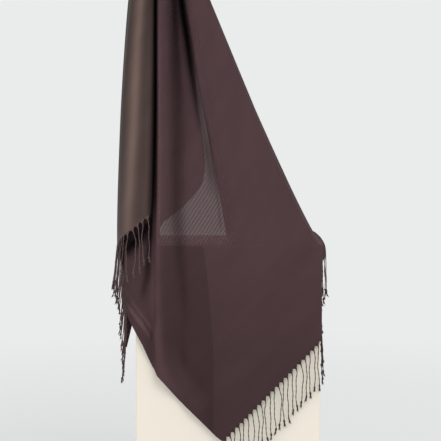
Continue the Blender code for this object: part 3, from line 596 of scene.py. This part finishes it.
def strand_walls(count, run):
    """Faces of every strand's tube and of its two caps, with the turns of the twist as coordinates."""
    rings = run.shape[1]
    at = np.arange(count * rings * STRAND_SIDES).reshape(count, rings, STRAND_SIDES)
    after = np.roll(at, -1, axis=2)
    walls = np.stack([at[:, :-1], after[:, :-1], after[:, 1:], at[:, 1:]], -1).reshape(-1, 4)
    turns = run[:, :, None, None] / TWIST
    uv = np.empty((count, rings - 1, STRAND_SIDES, 4, 2))
    uv[..., 0] = (np.arange(STRAND_SIDES)[:, None] + (0, 1, 1, 0)) / STRAND_SIDES
    uv[..., :2, 1], uv[..., 2:, 1] = turns[:, :-1], turns[:, 1:]
    caps_uv = np.zeros((2 * count * STRAND_SIDES, 2))
    return [walls, at[:, 0, ::-1], at[:, -1]], np.concatenate([uv.reshape(-1, 2), caps_uv])


def fibre_spikes(rng, centre, knot, tip, radius, side, square):
    """Three-sided spikes from under each knot, drawn to points spread round the strand's tip."""
    shape = (len(tip), FIBRES)
    side, square = side[:, None], square[:, None]
    spread = FIBRE_SPREAD * rng.uniform(-1, 1, (*shape, 2))
    reach = tip * (1 - FIBRE_UNEVEN * rng.random(shape))
    ends = centre(reach) + spread[..., :1] * side + spread[..., 1:] * square
    around = np.arange(3)[:, None] * 2 * pi / 3
    ring = np.cos(around) * side[:, None] + np.sin(around) * square[:, None]
    stray = spread[:, :, None, :1] * side[:, None]
    foot = centre(knot + FIBRE_FOOT)[:, None] + FIBRE_RADIUS * radius * ring + FIBRE_STRAY * stray
    points = np.concatenate([foot, ends[:, :, None]], axis=2).reshape(-1, 3)
    first = 4 * np.arange(len(points) // 4)
    faces = ((0, 1, 3), (1, 2, 3), (2, 0, 3), (2, 1, 0))
    spikes = np.concatenate([first[:, None] + face for face in faces])
    return points, spikes, np.tile(FIBRE_UV, (len(spikes), 1))


def fringe_strands(fringe, mat, settings):
    """Twisted strands down from the hem, each with a fanned root, a knot and a frayed tip.

    The centre line leaves the edge squarely over a short reach, as reach (1 - exp(-run / reach)), and hangs
    from there, with a half-sine sway and a smaller ripple. The section is an ellipse whose radius swells by
    cos(2 angle - turn of the twist), so two plies show. Lean is how far the tips that lean most stand out.
    """
    rng = np.random.default_rng(fringe.seed)
    root, out, tangent, step = hem_points(fringe.half, fringe.start, fringe.end, settings.strand_pitch)
    n = len(root)
    radius, length = settings.strand_radius, settings.strand_length
    away = unit(np.cross(tangent, out))
    side = unit(tangent * (1, 1, 0))
    square = np.stack([-side[:, 1], side[:, 0], np.zeros(n)], -1)
    square *= np.sign((square * out).sum(1))[:, None]
    root = root - settings.gauge / 2 * out

    tip = length * (1 - UNEVEN * rng.random((n, 1)))
    knot = tip * (KNOT_AT + KNOT_SPREAD * rng.random((n, 1)))
    phase, ripple_phase = rng.uniform(0, 2 * pi, (2, n, 1))
    amount = fringe.sway * rng.uniform(-1, 1, (n, 1))
    kink = KINK * rng.uniform(-1, 1, (n, 2, 1))
    lean_share = rng.uniform(0.5, 1.0, (n, 1))

    def centre(run):
        """Centre line at distances run, one row for each strand."""
        share = run / length
        slant = STRAND_REACH * (1 - np.exp(-run / STRAND_REACH))
        hang = smooth_share(run, HANG_FROM, HANG_TO)
        beyond = np.maximum(0, run - knot) / (tip - knot)
        sideways = amount * np.sin(SWAY_TURNS * share + SWAY_SHIFT * np.sin(phase))
        sideways = hang * (sideways + RIPPLE_SIDE * hang * np.sin(run / RIPPLE_RUN_SIDE + ripple_phase))
        sideways = sideways + kink[:, 0] * beyond
        outwards = fringe.lean * lean_share * share + kink[:, 1] * beyond
        outwards = outwards + RIPPLE_OUT * hang * np.sin(run / RIPPLE_RUN_OUT + phase)
        drop = np.array([0, 0, 1.0]) * (run - slant)[..., None]
        along = root[:, None] + slant[..., None] * away[:, None] - drop
        return along + sideways[..., None] * side[:, None] + outwards[..., None] * square[:, None]

    run = strand_runs(knot, tip)
    tail_radius = np.linspace(*TAIL_RADIUS, TAIL_RINGS)
    thick = radius * np.concatenate([ROOT_THICK, np.ones(BODY_RINGS), KNOT_RADIUS, tail_radius])
    root_wide = np.zeros(run.shape[1])
    root_wide[: len(ROOT_WIDE)] = ROOT_WIDE
    wide = np.maximum(thick, root_wide * step)

    turned = smooth_share(run, TURN_FROM, TURN_TO)[..., None]
    wide_axis = unit(tangent[:, None] * (1 - turned) + side[:, None] * turned)
    angle = np.arange(STRAND_SIDES) * 2 * pi / STRAND_SIDES
    plies = 1 + PLY_SWELL * np.cos(2 * angle - 2 * pi * run[..., None] / TWIST)
    across = (wide[:, None] * np.cos(angle) * plies)[..., None] * wide_axis[:, :, None]
    deep = (thick[:, None] * np.sin(angle) * plies)[..., None] * square[:, None, None]
    tubes = (centre(run)[:, :, None] + across + deep).reshape(-1, 3)

    faces, uv = strand_walls(n, run)
    fibres, spikes, spike_uv = fibre_spikes(rng, centre, knot, tip, radius, side, square)
    name, points = "fringe_strands_" + fringe.side, np.concatenate([tubes, fibres])
    faces, uv = [*faces, spikes + len(tubes)], np.concatenate([uv, spike_uv])
    return mesh_object(name, points, faces, [mat], None, uv)


# ---------------------------------------------------------------------------- finishes


def linear(hex_colour):
    """sRGB hex to linear RGBA."""
    channels = [int(hex_colour[k : k + 2], 16) / 255 for k in (0, 2, 4)]
    return (*[c / 12.92 if c <= 0.04045 else ((c + 0.055) / 1.055) ** 2.4 for c in channels], 1.0)


def wire(tree, node, settings=None, links=None):
    """Sets a node's properties and input values, and links its inputs from other nodes' outputs."""
    for key, value in (settings or {}).items():
        if isinstance(key, str) and hasattr(node, key):
            setattr(node, key, value)
        else:
            node.inputs[key].default_value = value
    for key, (other, output) in (links or {}).items():
        tree.links.new(other.outputs[output], node.inputs[key])
    return node


def add_node(tree, kind, settings=None, links=None):
    """Adds a shader node with its settings and links."""
    return wire(tree, tree.nodes.new("ShaderNode" + kind), settings, links)


def new_material(name):
    mat = bpy.data.materials.new(name)
    mat.use_nodes = True
    return mat, mat.node_tree, mat.node_tree.nodes["Principled BSDF"]


def shaded(colour, factor):
    return (*[min(1.0, c * factor) for c in colour[:3]], 1.0)


# Settings that several nodes share. A colour mix takes its two colours at inputs 6 and 7.
TIMES = {"operation": "MULTIPLY"}
ONE_LESS = {"operation": "SUBTRACT", 0: 1.0}
COLOURS = {"data_type": "RGBA"}

WAVE_PERIOD = 2 * pi / 20  # of Blender's wave texture at a scale of 1
WORSTED_GLOSS = {"Roughness": 0.9, "Specular IOR Level": 0.05}
SATIN_GLOSS = {"Roughness": 0.6, "Specular IOR Level": 0.06}
RIB_DEPTH = 0.03  # how much lighter or darker than the cloth its ribs and furrows are
WAVER = {"Distortion": 0.8, "Detail": 1.0, "Detail Scale": 0.2}  # ribs run a little unevenly
LINED_SHADE = 0.80  # painted shade: how dark the cloth over the folded layer is painted, where no pale board shows through
LINED_EDGE = 0.0014  # metres over which that begins
SHEER_GAIN = 0.92  # the sheer window's inner face hangs in the outer one's shade, so it is made lighter


def twill(name, colour, spacing, gloss, cover=None, lined=False):
    """Worsted-spun twill weave: matt, with fine slanting ribs, a faint cloudiness and a fine grain.

    On its satin side the threads float over one another for longer, which gives a soft shine. Ribs of such a
    twill are about 0.5 mm apart, too fine for the picture, so they are drawn several millimetres apart. The
    cloth's shade attribute holds painted shade for its hollows, and painted highlights where it is below 0;
    lined paints the stretch over the folded layer darker, a painted shade where no pale board shows through.
    Cover is the least and the most that one layer hides, between and on its ribs.
    """
    mat, tree, shader = new_material(name)
    uv = add_node(tree, "UVMap", {"uv_map": "cloth"})
    bands = {"wave_type": "BANDS", "bands_direction": "Y", "Scale": WAVE_PERIOD / spacing}
    ribs = add_node(tree, "TexWave", {**bands, **WAVER}, {"Vector": (uv, "UV")})
    rib_colours = {6: shaded(colour, 1 - RIB_DEPTH), 7: shaded(colour, 1 + RIB_DEPTH)}
    weave = add_node(tree, "Mix", {**COLOURS, **rib_colours}, {"Factor": (ribs, "Fac")})
    bump = add_node(tree, "Bump", {"Strength": 0.08, "Distance": 0.0003}, {"Height": (ribs, "Fac")})
    threads = add_node(tree, "TexNoise", {"Scale": 900.0, "Detail": 2.0}, {"Vector": (uv, "UV")})
    grain = add_node(tree, "MapRange", {"To Min": 0.96, "To Max": 1.04}, {"Value": (threads, "Fac")})
    drawn = add_node(tree, "Mapping", {"Scale": (7.0, 30.0, 1.0)}, {"Vector": (uv, "UV")})
    clouds = add_node(tree, "TexNoise", {"Scale": 1.0, "Detail": 3.0}, {"Vector": (drawn, "Vector")})
    faint = {"From Min": 0.3, "From Max": 0.7, "To Min": 0.93, "To Max": 1.07}
    cloudy = add_node(tree, "MapRange", faint, {"Value": (clouds, "Fac")})
    tone = add_node(tree, "Math", TIMES, {0: (cloudy, "Result"), 1: (grain, "Result")})
    # Painted shade over the folded layer, where no pale board shows through the cloth
    if lined:
        depth = add_node(tree, "Attribute", {"attribute_name": "lined"})
        edge = {"From Min": -LINED_EDGE, "From Max": LINED_EDGE, "To Min": 1.0, "To Max": LINED_SHADE}
        soft = {"interpolation_type": "SMOOTHSTEP", **edge}
        darker = add_node(tree, "MapRange", soft, {"Value": (depth, "Fac")})
        tone = add_node(tree, "Math", TIMES, {0: (tone, "Value"), 1: (darker, "Result")})
    # Painted shade in hollows, and painted highlights where the shade attribute is below 0
    shade = add_node(tree, "Attribute", {"attribute_name": "shade"})
    light = add_node(tree, "Math", ONE_LESS, {1: (shade, "Fac")})
    tone = add_node(tree, "Math", TIMES, {0: (tone, "Value"), 1: (light, "Value")})
    if cover is not None:
        # The shell has two faces, so each lets through the square root of what one layer does. In a hollow
        # other layers hang behind, and less light comes through.
        between, on = ((1 - share) ** 0.5 for share in cover)
        clear = add_node(tree, "MapRange", {"To Min": between, "To Max": on}, {"Value": (ribs, "Fac")})
        clear = add_node(tree, "Math", TIMES, {0: (clear, "Result"), 1: (light, "Value")})
        hides = add_node(tree, "Math", ONE_LESS, {1: (clear, "Value")})
        wire(tree, shader, links={"Alpha": (hides, "Value")})
        # What thin cloth lets through is made up for in its colour, so its lines show only against the light
        gain = add_node(tree, "Math", {"operation": "DIVIDE", 0: SHEER_GAIN}, {1: (hides, "Value")})
        tone = add_node(tree, "Math", TIMES, {0: (tone, "Value"), 1: (gain, "Value")})
    toned = add_node(tree, "VectorMath", {"operation": "SCALE"}, {0: (weave, 2), "Scale": (tone, "Value")})
    surface = {"Base Color": (toned, "Vector"), "Normal": (bump, "Normal")}
    wire(tree, shader, gloss, surface)
    return mat


def twisted_yarn(name, colour):
    """Two-ply twisted yarn: painted shade in the groove between the plies, painted light on their backs, a
    little fuzzy.
    """
    mat, tree, shader = new_material(name)
    uv = add_node(tree, "UVMap", {"uv_map": "cloth"})
    split = add_node(tree, "SeparateXYZ", None, {"Vector": (uv, "UV")})
    turn = add_node(tree, "Math", {"operation": "SUBTRACT"}, {0: (split, "X"), 1: (split, "Y")})
    angle = add_node(tree, "Math", {**TIMES, 1: 4 * pi}, {0: (turn, "Value")})
    wave = add_node(tree, "Math", {"operation": "COSINE"}, {0: (angle, "Value")})
    ply = add_node(tree, "MapRange", {"From Min": -1.0}, {"Value": (wave, "Value")})
    # Painted shade in the groove between the plies and painted light on their backs
    painted_shade_groove_to_lit_back = {6: shaded(colour, 0.62), 7: shaded(colour, 1.22)}
    mix = add_node(tree, "Mix", {**COLOURS, **painted_shade_groove_to_lit_back}, {"Factor": (ply, "Result")})
    bump = add_node(tree, "Bump", {"Strength": 0.5, "Distance": 0.0003}, {"Height": (ply, "Result")})
    fuzz = {"Sheen Weight": 0.15, "Sheen Roughness": 0.5}
    matt = {"Roughness": 0.8, "Specular IOR Level": 0.2}
    wire(tree, shader, {**matt, **fuzz}, {"Base Color": (mix, 2), "Normal": (bump, "Normal")})
    return mat


def painted_board(name, colour):
    """Satin emulsion rolled on board: nearly even, with the roller's fine stipple and a faint cloudiness."""
    mat, tree, shader = new_material(name)
    place = add_node(tree, "TexCoord")
    stipple = add_node(tree, "TexNoise", {"Scale": 450.0, "Detail": 2.0}, {"Vector": (place, "Object")})
    clouds = add_node(tree, "TexNoise", {"Scale": 5.0, "Detail": 2.0}, {"Vector": (place, "Object")})
    nearly_even = {6: shaded(colour, 0.975), 7: shaded(colour, 1.015)}
    paint = add_node(tree, "Mix", {**COLOURS, **nearly_even}, {"Factor": (clouds, "Fac")})
    gloss = add_node(tree, "MapRange", {"To Min": 0.42, "To Max": 0.55}, {"Value": (stipple, "Fac")})
    bump = add_node(tree, "Bump", {"Strength": 0.12, "Distance": 0.0002}, {"Height": (stipple, "Fac")})
    surface = {"Base Color": (paint, 2), "Roughness": (gloss, "Result"), "Normal": (bump, "Normal")}
    wire(tree, shader, {"Specular IOR Level": 0.35}, surface)
    return mat


def brushed_steel(name, colour):
    """Stainless steel brushed round the post: long fine scratches and a soft gleam."""
    mat, tree, shader = new_material(name)
    place = add_node(tree, "TexCoord")
    drawn = add_node(tree, "Mapping", {"Scale": (60.0, 60.0, 2500.0)}, {"Vector": (place, "Object")})
    lines = add_node(tree, "TexNoise", {"Scale": 1.0, "Detail": 3.0}, {"Vector": (drawn, "Vector")})
    scratches = {6: shaded(colour, 0.85), 7: colour}
    tone = add_node(tree, "Mix", {**COLOURS, **scratches}, {"Factor": (lines, "Fac")})
    gloss = add_node(tree, "MapRange", {"To Min": 0.26, "To Max": 0.42}, {"Value": (lines, "Fac")})
    wire(tree, shader, {"Metallic": 1.0}, {"Base Color": (tone, 2), "Roughness": (gloss, "Result")})
    return mat


PAPER_FROM, PAPER_TO = 0.5, 3.0  # metres from the plinth between which the floor takes the surround's colour


def pale_floor(name, colour, far_colour):
    """Seamless studio paper: matt near the plinth, and the colour of the surround from a few metres out."""
    mat, tree, shader = new_material(name)
    wire(tree, shader, {"Base Color": colour, "Roughness": 0.9, "Specular IOR Level": 0.1})
    place = add_node(tree, "TexCoord")
    distance = add_node(tree, "VectorMath", {"operation": "LENGTH"}, {0: (place, "Object")})
    soft = {"interpolation_type": "SMOOTHSTEP", "From Min": PAPER_FROM, "From Max": PAPER_TO}
    far = add_node(tree, "MapRange", soft, {"Value": (distance, "Value")})
    glow = add_node(tree, "Emission", {"Color": far_colour})
    layers = {0: (far, "Result"), 1: (shader, "BSDF"), 2: (glow, "Emission")}
    blend = add_node(tree, "MixShader", None, layers)
    wire(tree, tree.nodes["Material Output"], links={"Surface": (blend, "Shader")})
    return mat


# ---------------------------------------------------------------------------- pieces


SHEER_SPACING = 0.0043  # twill lines stand out where light comes through, and are drawn coarser there
SHEER_LINES = 0.026  # how far its cover swings between the lines


def finish_material(key):
    """The finish of that name, made once."""
    scarf, finish = bpy.context.scene.scarf, bpy.context.scene.scarf_finish
    made = bpy.data.materials.get(key)
    if made is not None:
        return made
    plum, satin = linear(finish.plum), linear(finish.satin)
    cover = (scarf.sheer_cover - SHEER_LINES, scarf.sheer_cover + SHEER_LINES)
    makers = {
        "worsted_twill": lambda: twill(key, plum, scarf.twill_spacing, WORSTED_GLOSS, lined=True),
        "worsted_twill_sheer": lambda: twill(key, plum, SHEER_SPACING, WORSTED_GLOSS, cover, lined=True),
        "satin_side": lambda: twill(key, satin, scarf.twill_spacing, SATIN_GLOSS),
        "two_ply_yarn": lambda: twisted_yarn(key, linear(finish.yarn)),
        "two_ply_yarn_lit": lambda: twisted_yarn(key, linear(finish.painted_lit_yarn)),
        "emulsion_painted_board": lambda: painted_board(key, linear(finish.cream)),
        "brushed_stainless_steel": lambda: brushed_steel(key, linear(finish.steel)),
    }
    return makers[key]()


def front_half():
    fall = fall_surface(FRONT_HALF, NECK_RADIUS_FRONT, NECK_SHIFT_FRONT)
    return with_gathers(with_creases(fall, FRONT_CREASES))


def rear_half():
    fall = with_rear_panel(fall_surface(REAR_HALF, NECK_RADIUS_REAR))
    return with_gathers(with_creases(fall, REAR_CREASES))


LEFT_SOFTNESS = 0.1  # the folded layer's left border shows as a change ten times as wide as its right one
TOP_MARGIN = 0.0006  # how far above the plinth's top it still shows
INSIDE, OUTSIDE = 1.0, -1.0  # the lined attribute of cloth that lies wholly over, or clear of, that layer


def lined_depth(surface):
    """Metres inside the outline of the folded layer, as seen from the front, and below 0 outside it."""
    z = surface[..., 2] - PLINTH_TOP
    heights = [-r.z for r in UNDER]
    left, right = (np.interp(-z, heights, [getattr(r, k) for r in UNDER]) for k in ("left", "right"))
    inside = np.minimum((surface[..., 0] - left) * LEFT_SOFTNESS, right - surface[..., 0])
    inside = np.minimum(inside, TOP_MARGIN - z)
    return np.where(surface[..., 1] < PLINTH_LOW.y, inside, OUTSIDE)


def rail_index(rails, name):
    return [r.name for r in rails].index(name)


class SCARF_OT_front_half(bpy.types.Operator):
    """Drapes the front half of the scarf over the plinth's front, right side and back"""

    bl_idname = "scarf.front_half"
    bl_label = "Front half"

    def execute(self, context):
        surface = front_half()
        sheer = np.zeros((surface.shape[0] - 1, surface.shape[1] - 1), bool)
        first, last = (BETWEEN * rail_index(FRONT_HALF, name) for name in (SHEER_FROM, SHEER_TO))
        sheer[:FAN_ROWS, first:last] = True
        materials = [finish_material(key) for key in ("worsted_twill", "satin_side", "worsted_twill_sheer")]
        obj = cloth_shell(
            "scarf_front_half",
            surface,
            context.scene.scarf.gauge,
            weave_map(surface, FAN_ROWS - 1),
            materials,
            sheer,
            {"lined": lined_depth(surface), "shade": shade_of(surface, FRONT_SHADES)},
        )
        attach(obj, "root")
        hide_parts("cloth_front", "cloth_right", "cloth_back")
        return {"FINISHED"}


class SCARF_OT_rear_half(bpy.types.Operator):
    """Drapes the rear half of the scarf, satin out, down the plinth's left side and round behind"""

    bl_idname = "scarf.rear_half"
    bl_label = "Rear half"

    def execute(self, context):
        surface = rear_half()
        materials = [finish_material(key) for key in ("satin_side", "worsted_twill")]
        obj = cloth_shell(
            "scarf_rear_half",
            surface,
            context.scene.scarf.gauge,
            weave_map(surface, FAN_ROWS - 1),
            materials,
            values={"lined": np.full(surface.shape[:2], OUTSIDE), "shade": shade_of(surface, REAR_SHADES)},
        )
        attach(obj, "root")
        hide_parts("cloth_left")
        return {"FINISHED"}


class SCARF_OT_folded_layer(bpy.types.Operator):
    """Lays the folded-under layer against the plinth's front face"""

    bl_idname = "scarf.folded_layer"
    bl_label = "Folded layer"

    def execute(self, context):
        heights = [-r.z for r in UNDER]
        fall = np.linspace(heights[0], heights[-1], UNDER_ROWS)
        borders = ([getattr(r, k) for r in UNDER] for k in ("left", "right"))
        left, right = (np.interp(fall, heights, border) for border in borders)
        x = left[:, None] + (right - left)[:, None] * np.linspace(0, 1, UNDER_COLUMNS)
        z = np.broadcast_to(PLINTH_TOP - fall[:, None], x.shape)
        surface = np.stack([x, UNDER_Y + UNDER_WAVE * np.sin(x / UNDER_WAVE_RUN), z], -1)
        uv = np.stack([WEFT[0] * x + WEFT[1] * z, WARP[0] * x + WARP[1] * z], -1)
        materials = [finish_material(key) for key in ("worsted_twill", "satin_side")]
        gauge, values = context.scene.scarf.gauge, {"lined": np.full(x.shape, INSIDE)}
        obj = cloth_shell("scarf_folded_layer", surface, gauge, uv, materials, values=values)
        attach(obj, "root")
        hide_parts("cloth_folded_under")
        return {"FINISHED"}


CROWN_SIDES = 160
CROWN_RINGS = 26
CROWN_RISE = 0.034
CROWN_RADIUS = 0.0250
CROWN_CLIMB = 0.97 * pi / 2  # the last ring's climb, short of the dome's tip
CROWN_ROUND = 0.6  # below 1, the dome is fuller than a ball
CROWN_LIFT = 0.0004  # its rim's height above the neck
WIDE_PLEATS, WIDE_DEPTH = 9, 0.0013
FINE_PLEATS, FINE_DEPTH = 17, 0.0008


class SCARF_OT_gathered_middle(bpy.types.Operator):
    """Gathers the scarf's middle over the post's knob"""

    bl_idname = "scarf.gathered_middle"
    bl_label = "Gathered middle"

    def execute(self, context):
        """Rings down a dome whose radius swells by two sets of pleats that die out towards the top."""
        around = np.arange(CROWN_SIDES) * 2 * pi / CROWN_SIDES
        climb = np.linspace(CROWN_CLIMB, 0, CROWN_RINGS)[:, None]
        pleats = WIDE_DEPTH * np.cos(WIDE_PLEATS * around) + FINE_DEPTH * np.cos(FINE_PLEATS * around + 1.0)
        radius = (CROWN_RADIUS + pleats * np.cos(climb) ** 0.5) * np.cos(climb) ** CROWN_ROUND
        rise = PLINTH_TOP + NECK_RISE + CROWN_LIFT + CROWN_RISE * np.sin(climb) + 0 * radius
        surface = np.stack([POST_X + radius * np.cos(around), radius * np.sin(around), rise], -1)
        middle = np.array([POST_X, 0, PLINTH_TOP + NECK_RISE])
        inner = middle + (surface - middle) * (1 - context.scene.scarf.gauge / CROWN_RADIUS)
        inner[..., 2] = np.maximum(inner[..., 2], surface[-1, 0, 2])
        count = CROWN_RINGS * CROWN_SIDES
        at = np.arange(count).reshape(-1, CROWN_SIDES)
        after = np.roll(at, -1, axis=1)
        outside = np.stack([at[:-1], at[1:], after[1:], after[:-1]], -1).reshape(-1, 4)
        rim = np.stack([at[-1], at[-1] + count, after[-1] + count, after[-1]], -1)
        faces = [outside, outside[:, ::-1] + count, rim, at[:1], at[:1, ::-1] + count]
        points = np.concatenate([surface.reshape(-1, 3), inner.reshape(-1, 3)])
        flat = np.stack([around * CROWN_RADIUS + 0 * radius, surface[..., 2]], -1).reshape(-1, 2)
        uv, values = np.tile(flat, (2, 1)), {"lined": np.full(2 * count, OUTSIDE)}
        materials = [finish_material("worsted_twill")]
        obj = mesh_object("scarf_gathered_middle", points, faces, materials, None, uv, values)
        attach(obj, "root")
        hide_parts("cloth_crown")
        return {"FINISHED"}


# A fringe hangs from the columns of a half's hem between start and end. Lean is how far its tips stand out,
# and sway how far its strands swing to the side, in metres.
Fringe = namedtuple("Fringe", "side half yarn seed start end lean sway")


class SCARF_OT_fringes(bpy.types.Operator):
    """Knots the fringes along both ends of the scarf"""

    bl_idname = "scarf.fringes"
    bl_label = "Fringes"

    def execute(self, context):
        settings = context.scene.scarf
        front, rear = front_half(), rear_half()
        rails = ("front corner", "past the corner", "back corner")
        corner, right, back = (BETWEEN * rail_index(FRONT_HALF, name) for name in rails)
        fringes = (
            Fringe("front", front, "two_ply_yarn", 11, corner, right + 1, 0.0, 0.0028),
            Fringe("right", front, "two_ply_yarn", 12, right, back + 1, 0.004, 0.0030),
            Fringe("back", front, "two_ply_yarn", 13, back, None, 0.0, 0.0019),
            # the rear half's strands take the same yarn painted lighter, as painted light
            Fringe("left", rear, "two_ply_yarn_lit", 14, REAR_COLUMNS, -1, 0.012, 0.0030),
        )
        for fringe in fringes:
            obj = fringe_strands(fringe, finish_material(fringe.yarn), settings)
            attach(obj, "root")
            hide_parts("fringe_" + fringe.side)
        return {"FINISHED"}


class SCARF_OT_stand(bpy.types.Operator):
    """Paints the plinth and brushes the post"""

    bl_idname = "scarf.stand"
    bl_label = "Plinth and post"

    def execute(self, context):
        for node, key in (("plinth", "emulsion_painted_board"), ("stand_post", "brushed_stainless_steel")):
            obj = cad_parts[node]
            obj.data.materials.clear()
            obj.data.materials.append(finish_material(key))
        return {"FINISHED"}


FLOOR_RADIUS = 14.0
FLOOR_RINGS = 24
FLOOR_SIDES = 96
CAMERA_PLACE = (-0.0121, -1.75, 0.7097)
CAMERA_PITCH = 2.48  # degrees down
SENSOR_WIDTH = 36.0  # millimetres
CLIP_START, CLIP_END = 0.05, 60.0
# Lamps: where each stands and what it faces, and the sides of its panel
Lamp = namedtuple("Lamp", "name setting place target width height")
LAMPS = (
    Lamp("key_softbox", "key_power", (1.1, -2.5, 2.9), (0.0, 0.0, 0.75), 1.8, 1.8),
    Lamp("fill_softbox", "fill_power", (-2.2, -1.8, 1.4), (0.0, 0.0, 0.75), 1.8, 1.8),
)


class SCARF_OT_stage(bpy.types.Operator):
    """Sets the pale floor, the surround, the lamps and the camera"""

    bl_idname = "scarf.stage"
    bl_label = "Stage"

    def execute(self, context):
        """The floor is a disc of rings whose radius grows as the square of their number."""
        scene, stage = context.scene, context.scene.scarf_stage
        around = np.linspace(0, 2 * pi, FLOOR_SIDES, endpoint=False)
        radius = FLOOR_RADIUS * (np.arange(1, FLOOR_RINGS + 1)[:, None] / FLOOR_RINGS) ** 2
        rings = np.stack([radius * np.cos(around), radius * np.sin(around), 0 * radius * around], -1)
        at = np.arange(FLOOR_RINGS * FLOOR_SIDES).reshape(FLOOR_RINGS, FLOOR_SIDES)
        after = np.roll(at, -1, axis=1)
        quads = np.stack([at[:-1], at[1:], after[1:], after[:-1]], -1).reshape(-1, 4)
        mat = pale_floor("studio_paper", linear(stage.floor), linear(stage.wall))
        floor = mesh_object("studio_floor", rings.reshape(-1, 3), [quads, at[:1]], [mat])

        world = bpy.data.worlds.new("studio_surround")
        scene.world = world
        world.use_nodes = True
        backdrop = world.node_tree.nodes["Background"]
        backdrop.inputs["Color"].default_value = linear(stage.wall)
        backdrop.inputs["Strength"].default_value = 1.0

        for lamp in LAMPS:
            data = bpy.data.lights.new(lamp.name, "AREA")
            data.shape, data.size, data.size_y = "RECTANGLE", lamp.width, lamp.height
            data.energy = getattr(stage, lamp.setting)
            obj = bpy.data.objects.new(lamp.name, data)
            scene.collection.objects.link(obj)
            obj.location = lamp.place
            facing = np.array(lamp.target) - lamp.place
            obj.rotation_euler = (
                pi / 2 + np.arctan2(facing[2], np.hypot(facing[0], facing[1])),
                0,
                np.arctan2(facing[1], facing[0]) - pi / 2,
            )

        data = bpy.data.cameras.new("photo_camera")
        data.sensor_width, data.lens = SENSOR_WIDTH, stage.lens
        data.clip_start, data.clip_end = CLIP_START, CLIP_END
        camera = bpy.data.objects.new("photo_camera", data)
        scene.collection.objects.link(camera)
        camera.location = CAMERA_PLACE
        camera.rotation_euler = (radians(90 - CAMERA_PITCH), 0, 0)
        scene.camera = camera
        scene.view_settings.view_transform = "Standard"
        return {"FINISHED"}


OPERATORS = (
    SCARF_OT_front_half,
    SCARF_OT_rear_half,
    SCARF_OT_folded_layer,
    SCARF_OT_gathered_middle,
    SCARF_OT_fringes,
    SCARF_OT_stand,
    SCARF_OT_stage,
)


class SCARF_PT_panel(bpy.types.Panel):
    """Lists the scarf's settings and pieces"""

    bl_idname = "SCARF_PT_panel"
    bl_label = "Draped scarf"
    bl_space_type = "VIEW_3D"
    bl_region_type = "UI"
    bl_category = "Draped scarf"

    def draw(self, context):
        for group in (context.scene.scarf, context.scene.scarf_finish, context.scene.scarf_stage):
            box = self.layout.box()
            for key in group.__annotations__:
                box.prop(group, key)
        for operator in OPERATORS:
            self.layout.operator(operator.bl_idname)


GROUPS = {"scarf": ScarfSettings, "scarf_finish": FinishSettings, "scarf_stage": StageSettings}


def register():
    for cls in (*GROUPS.values(), *OPERATORS, SCARF_PT_panel):
        bpy.utils.register_class(cls)
    for key, group in GROUPS.items():
        setattr(bpy.types.Scene, key, PointerProperty(type=group))


def unregister():
    for key in GROUPS:
        delattr(bpy.types.Scene, key)
    for cls in (SCARF_PT_panel, *reversed(OPERATORS), *GROUPS.values()):
        bpy.utils.unregister_class(cls)


def main():
    register()
    bpy.ops.scarf.front_half()
    bpy.ops.scarf.rear_half()
    bpy.ops.scarf.folded_layer()
    bpy.ops.scarf.gathered_middle()
    bpy.ops.scarf.fringes()
    bpy.ops.scarf.stand()
    bpy.ops.scarf.stage()


if __name__ == "__main__":
    main()
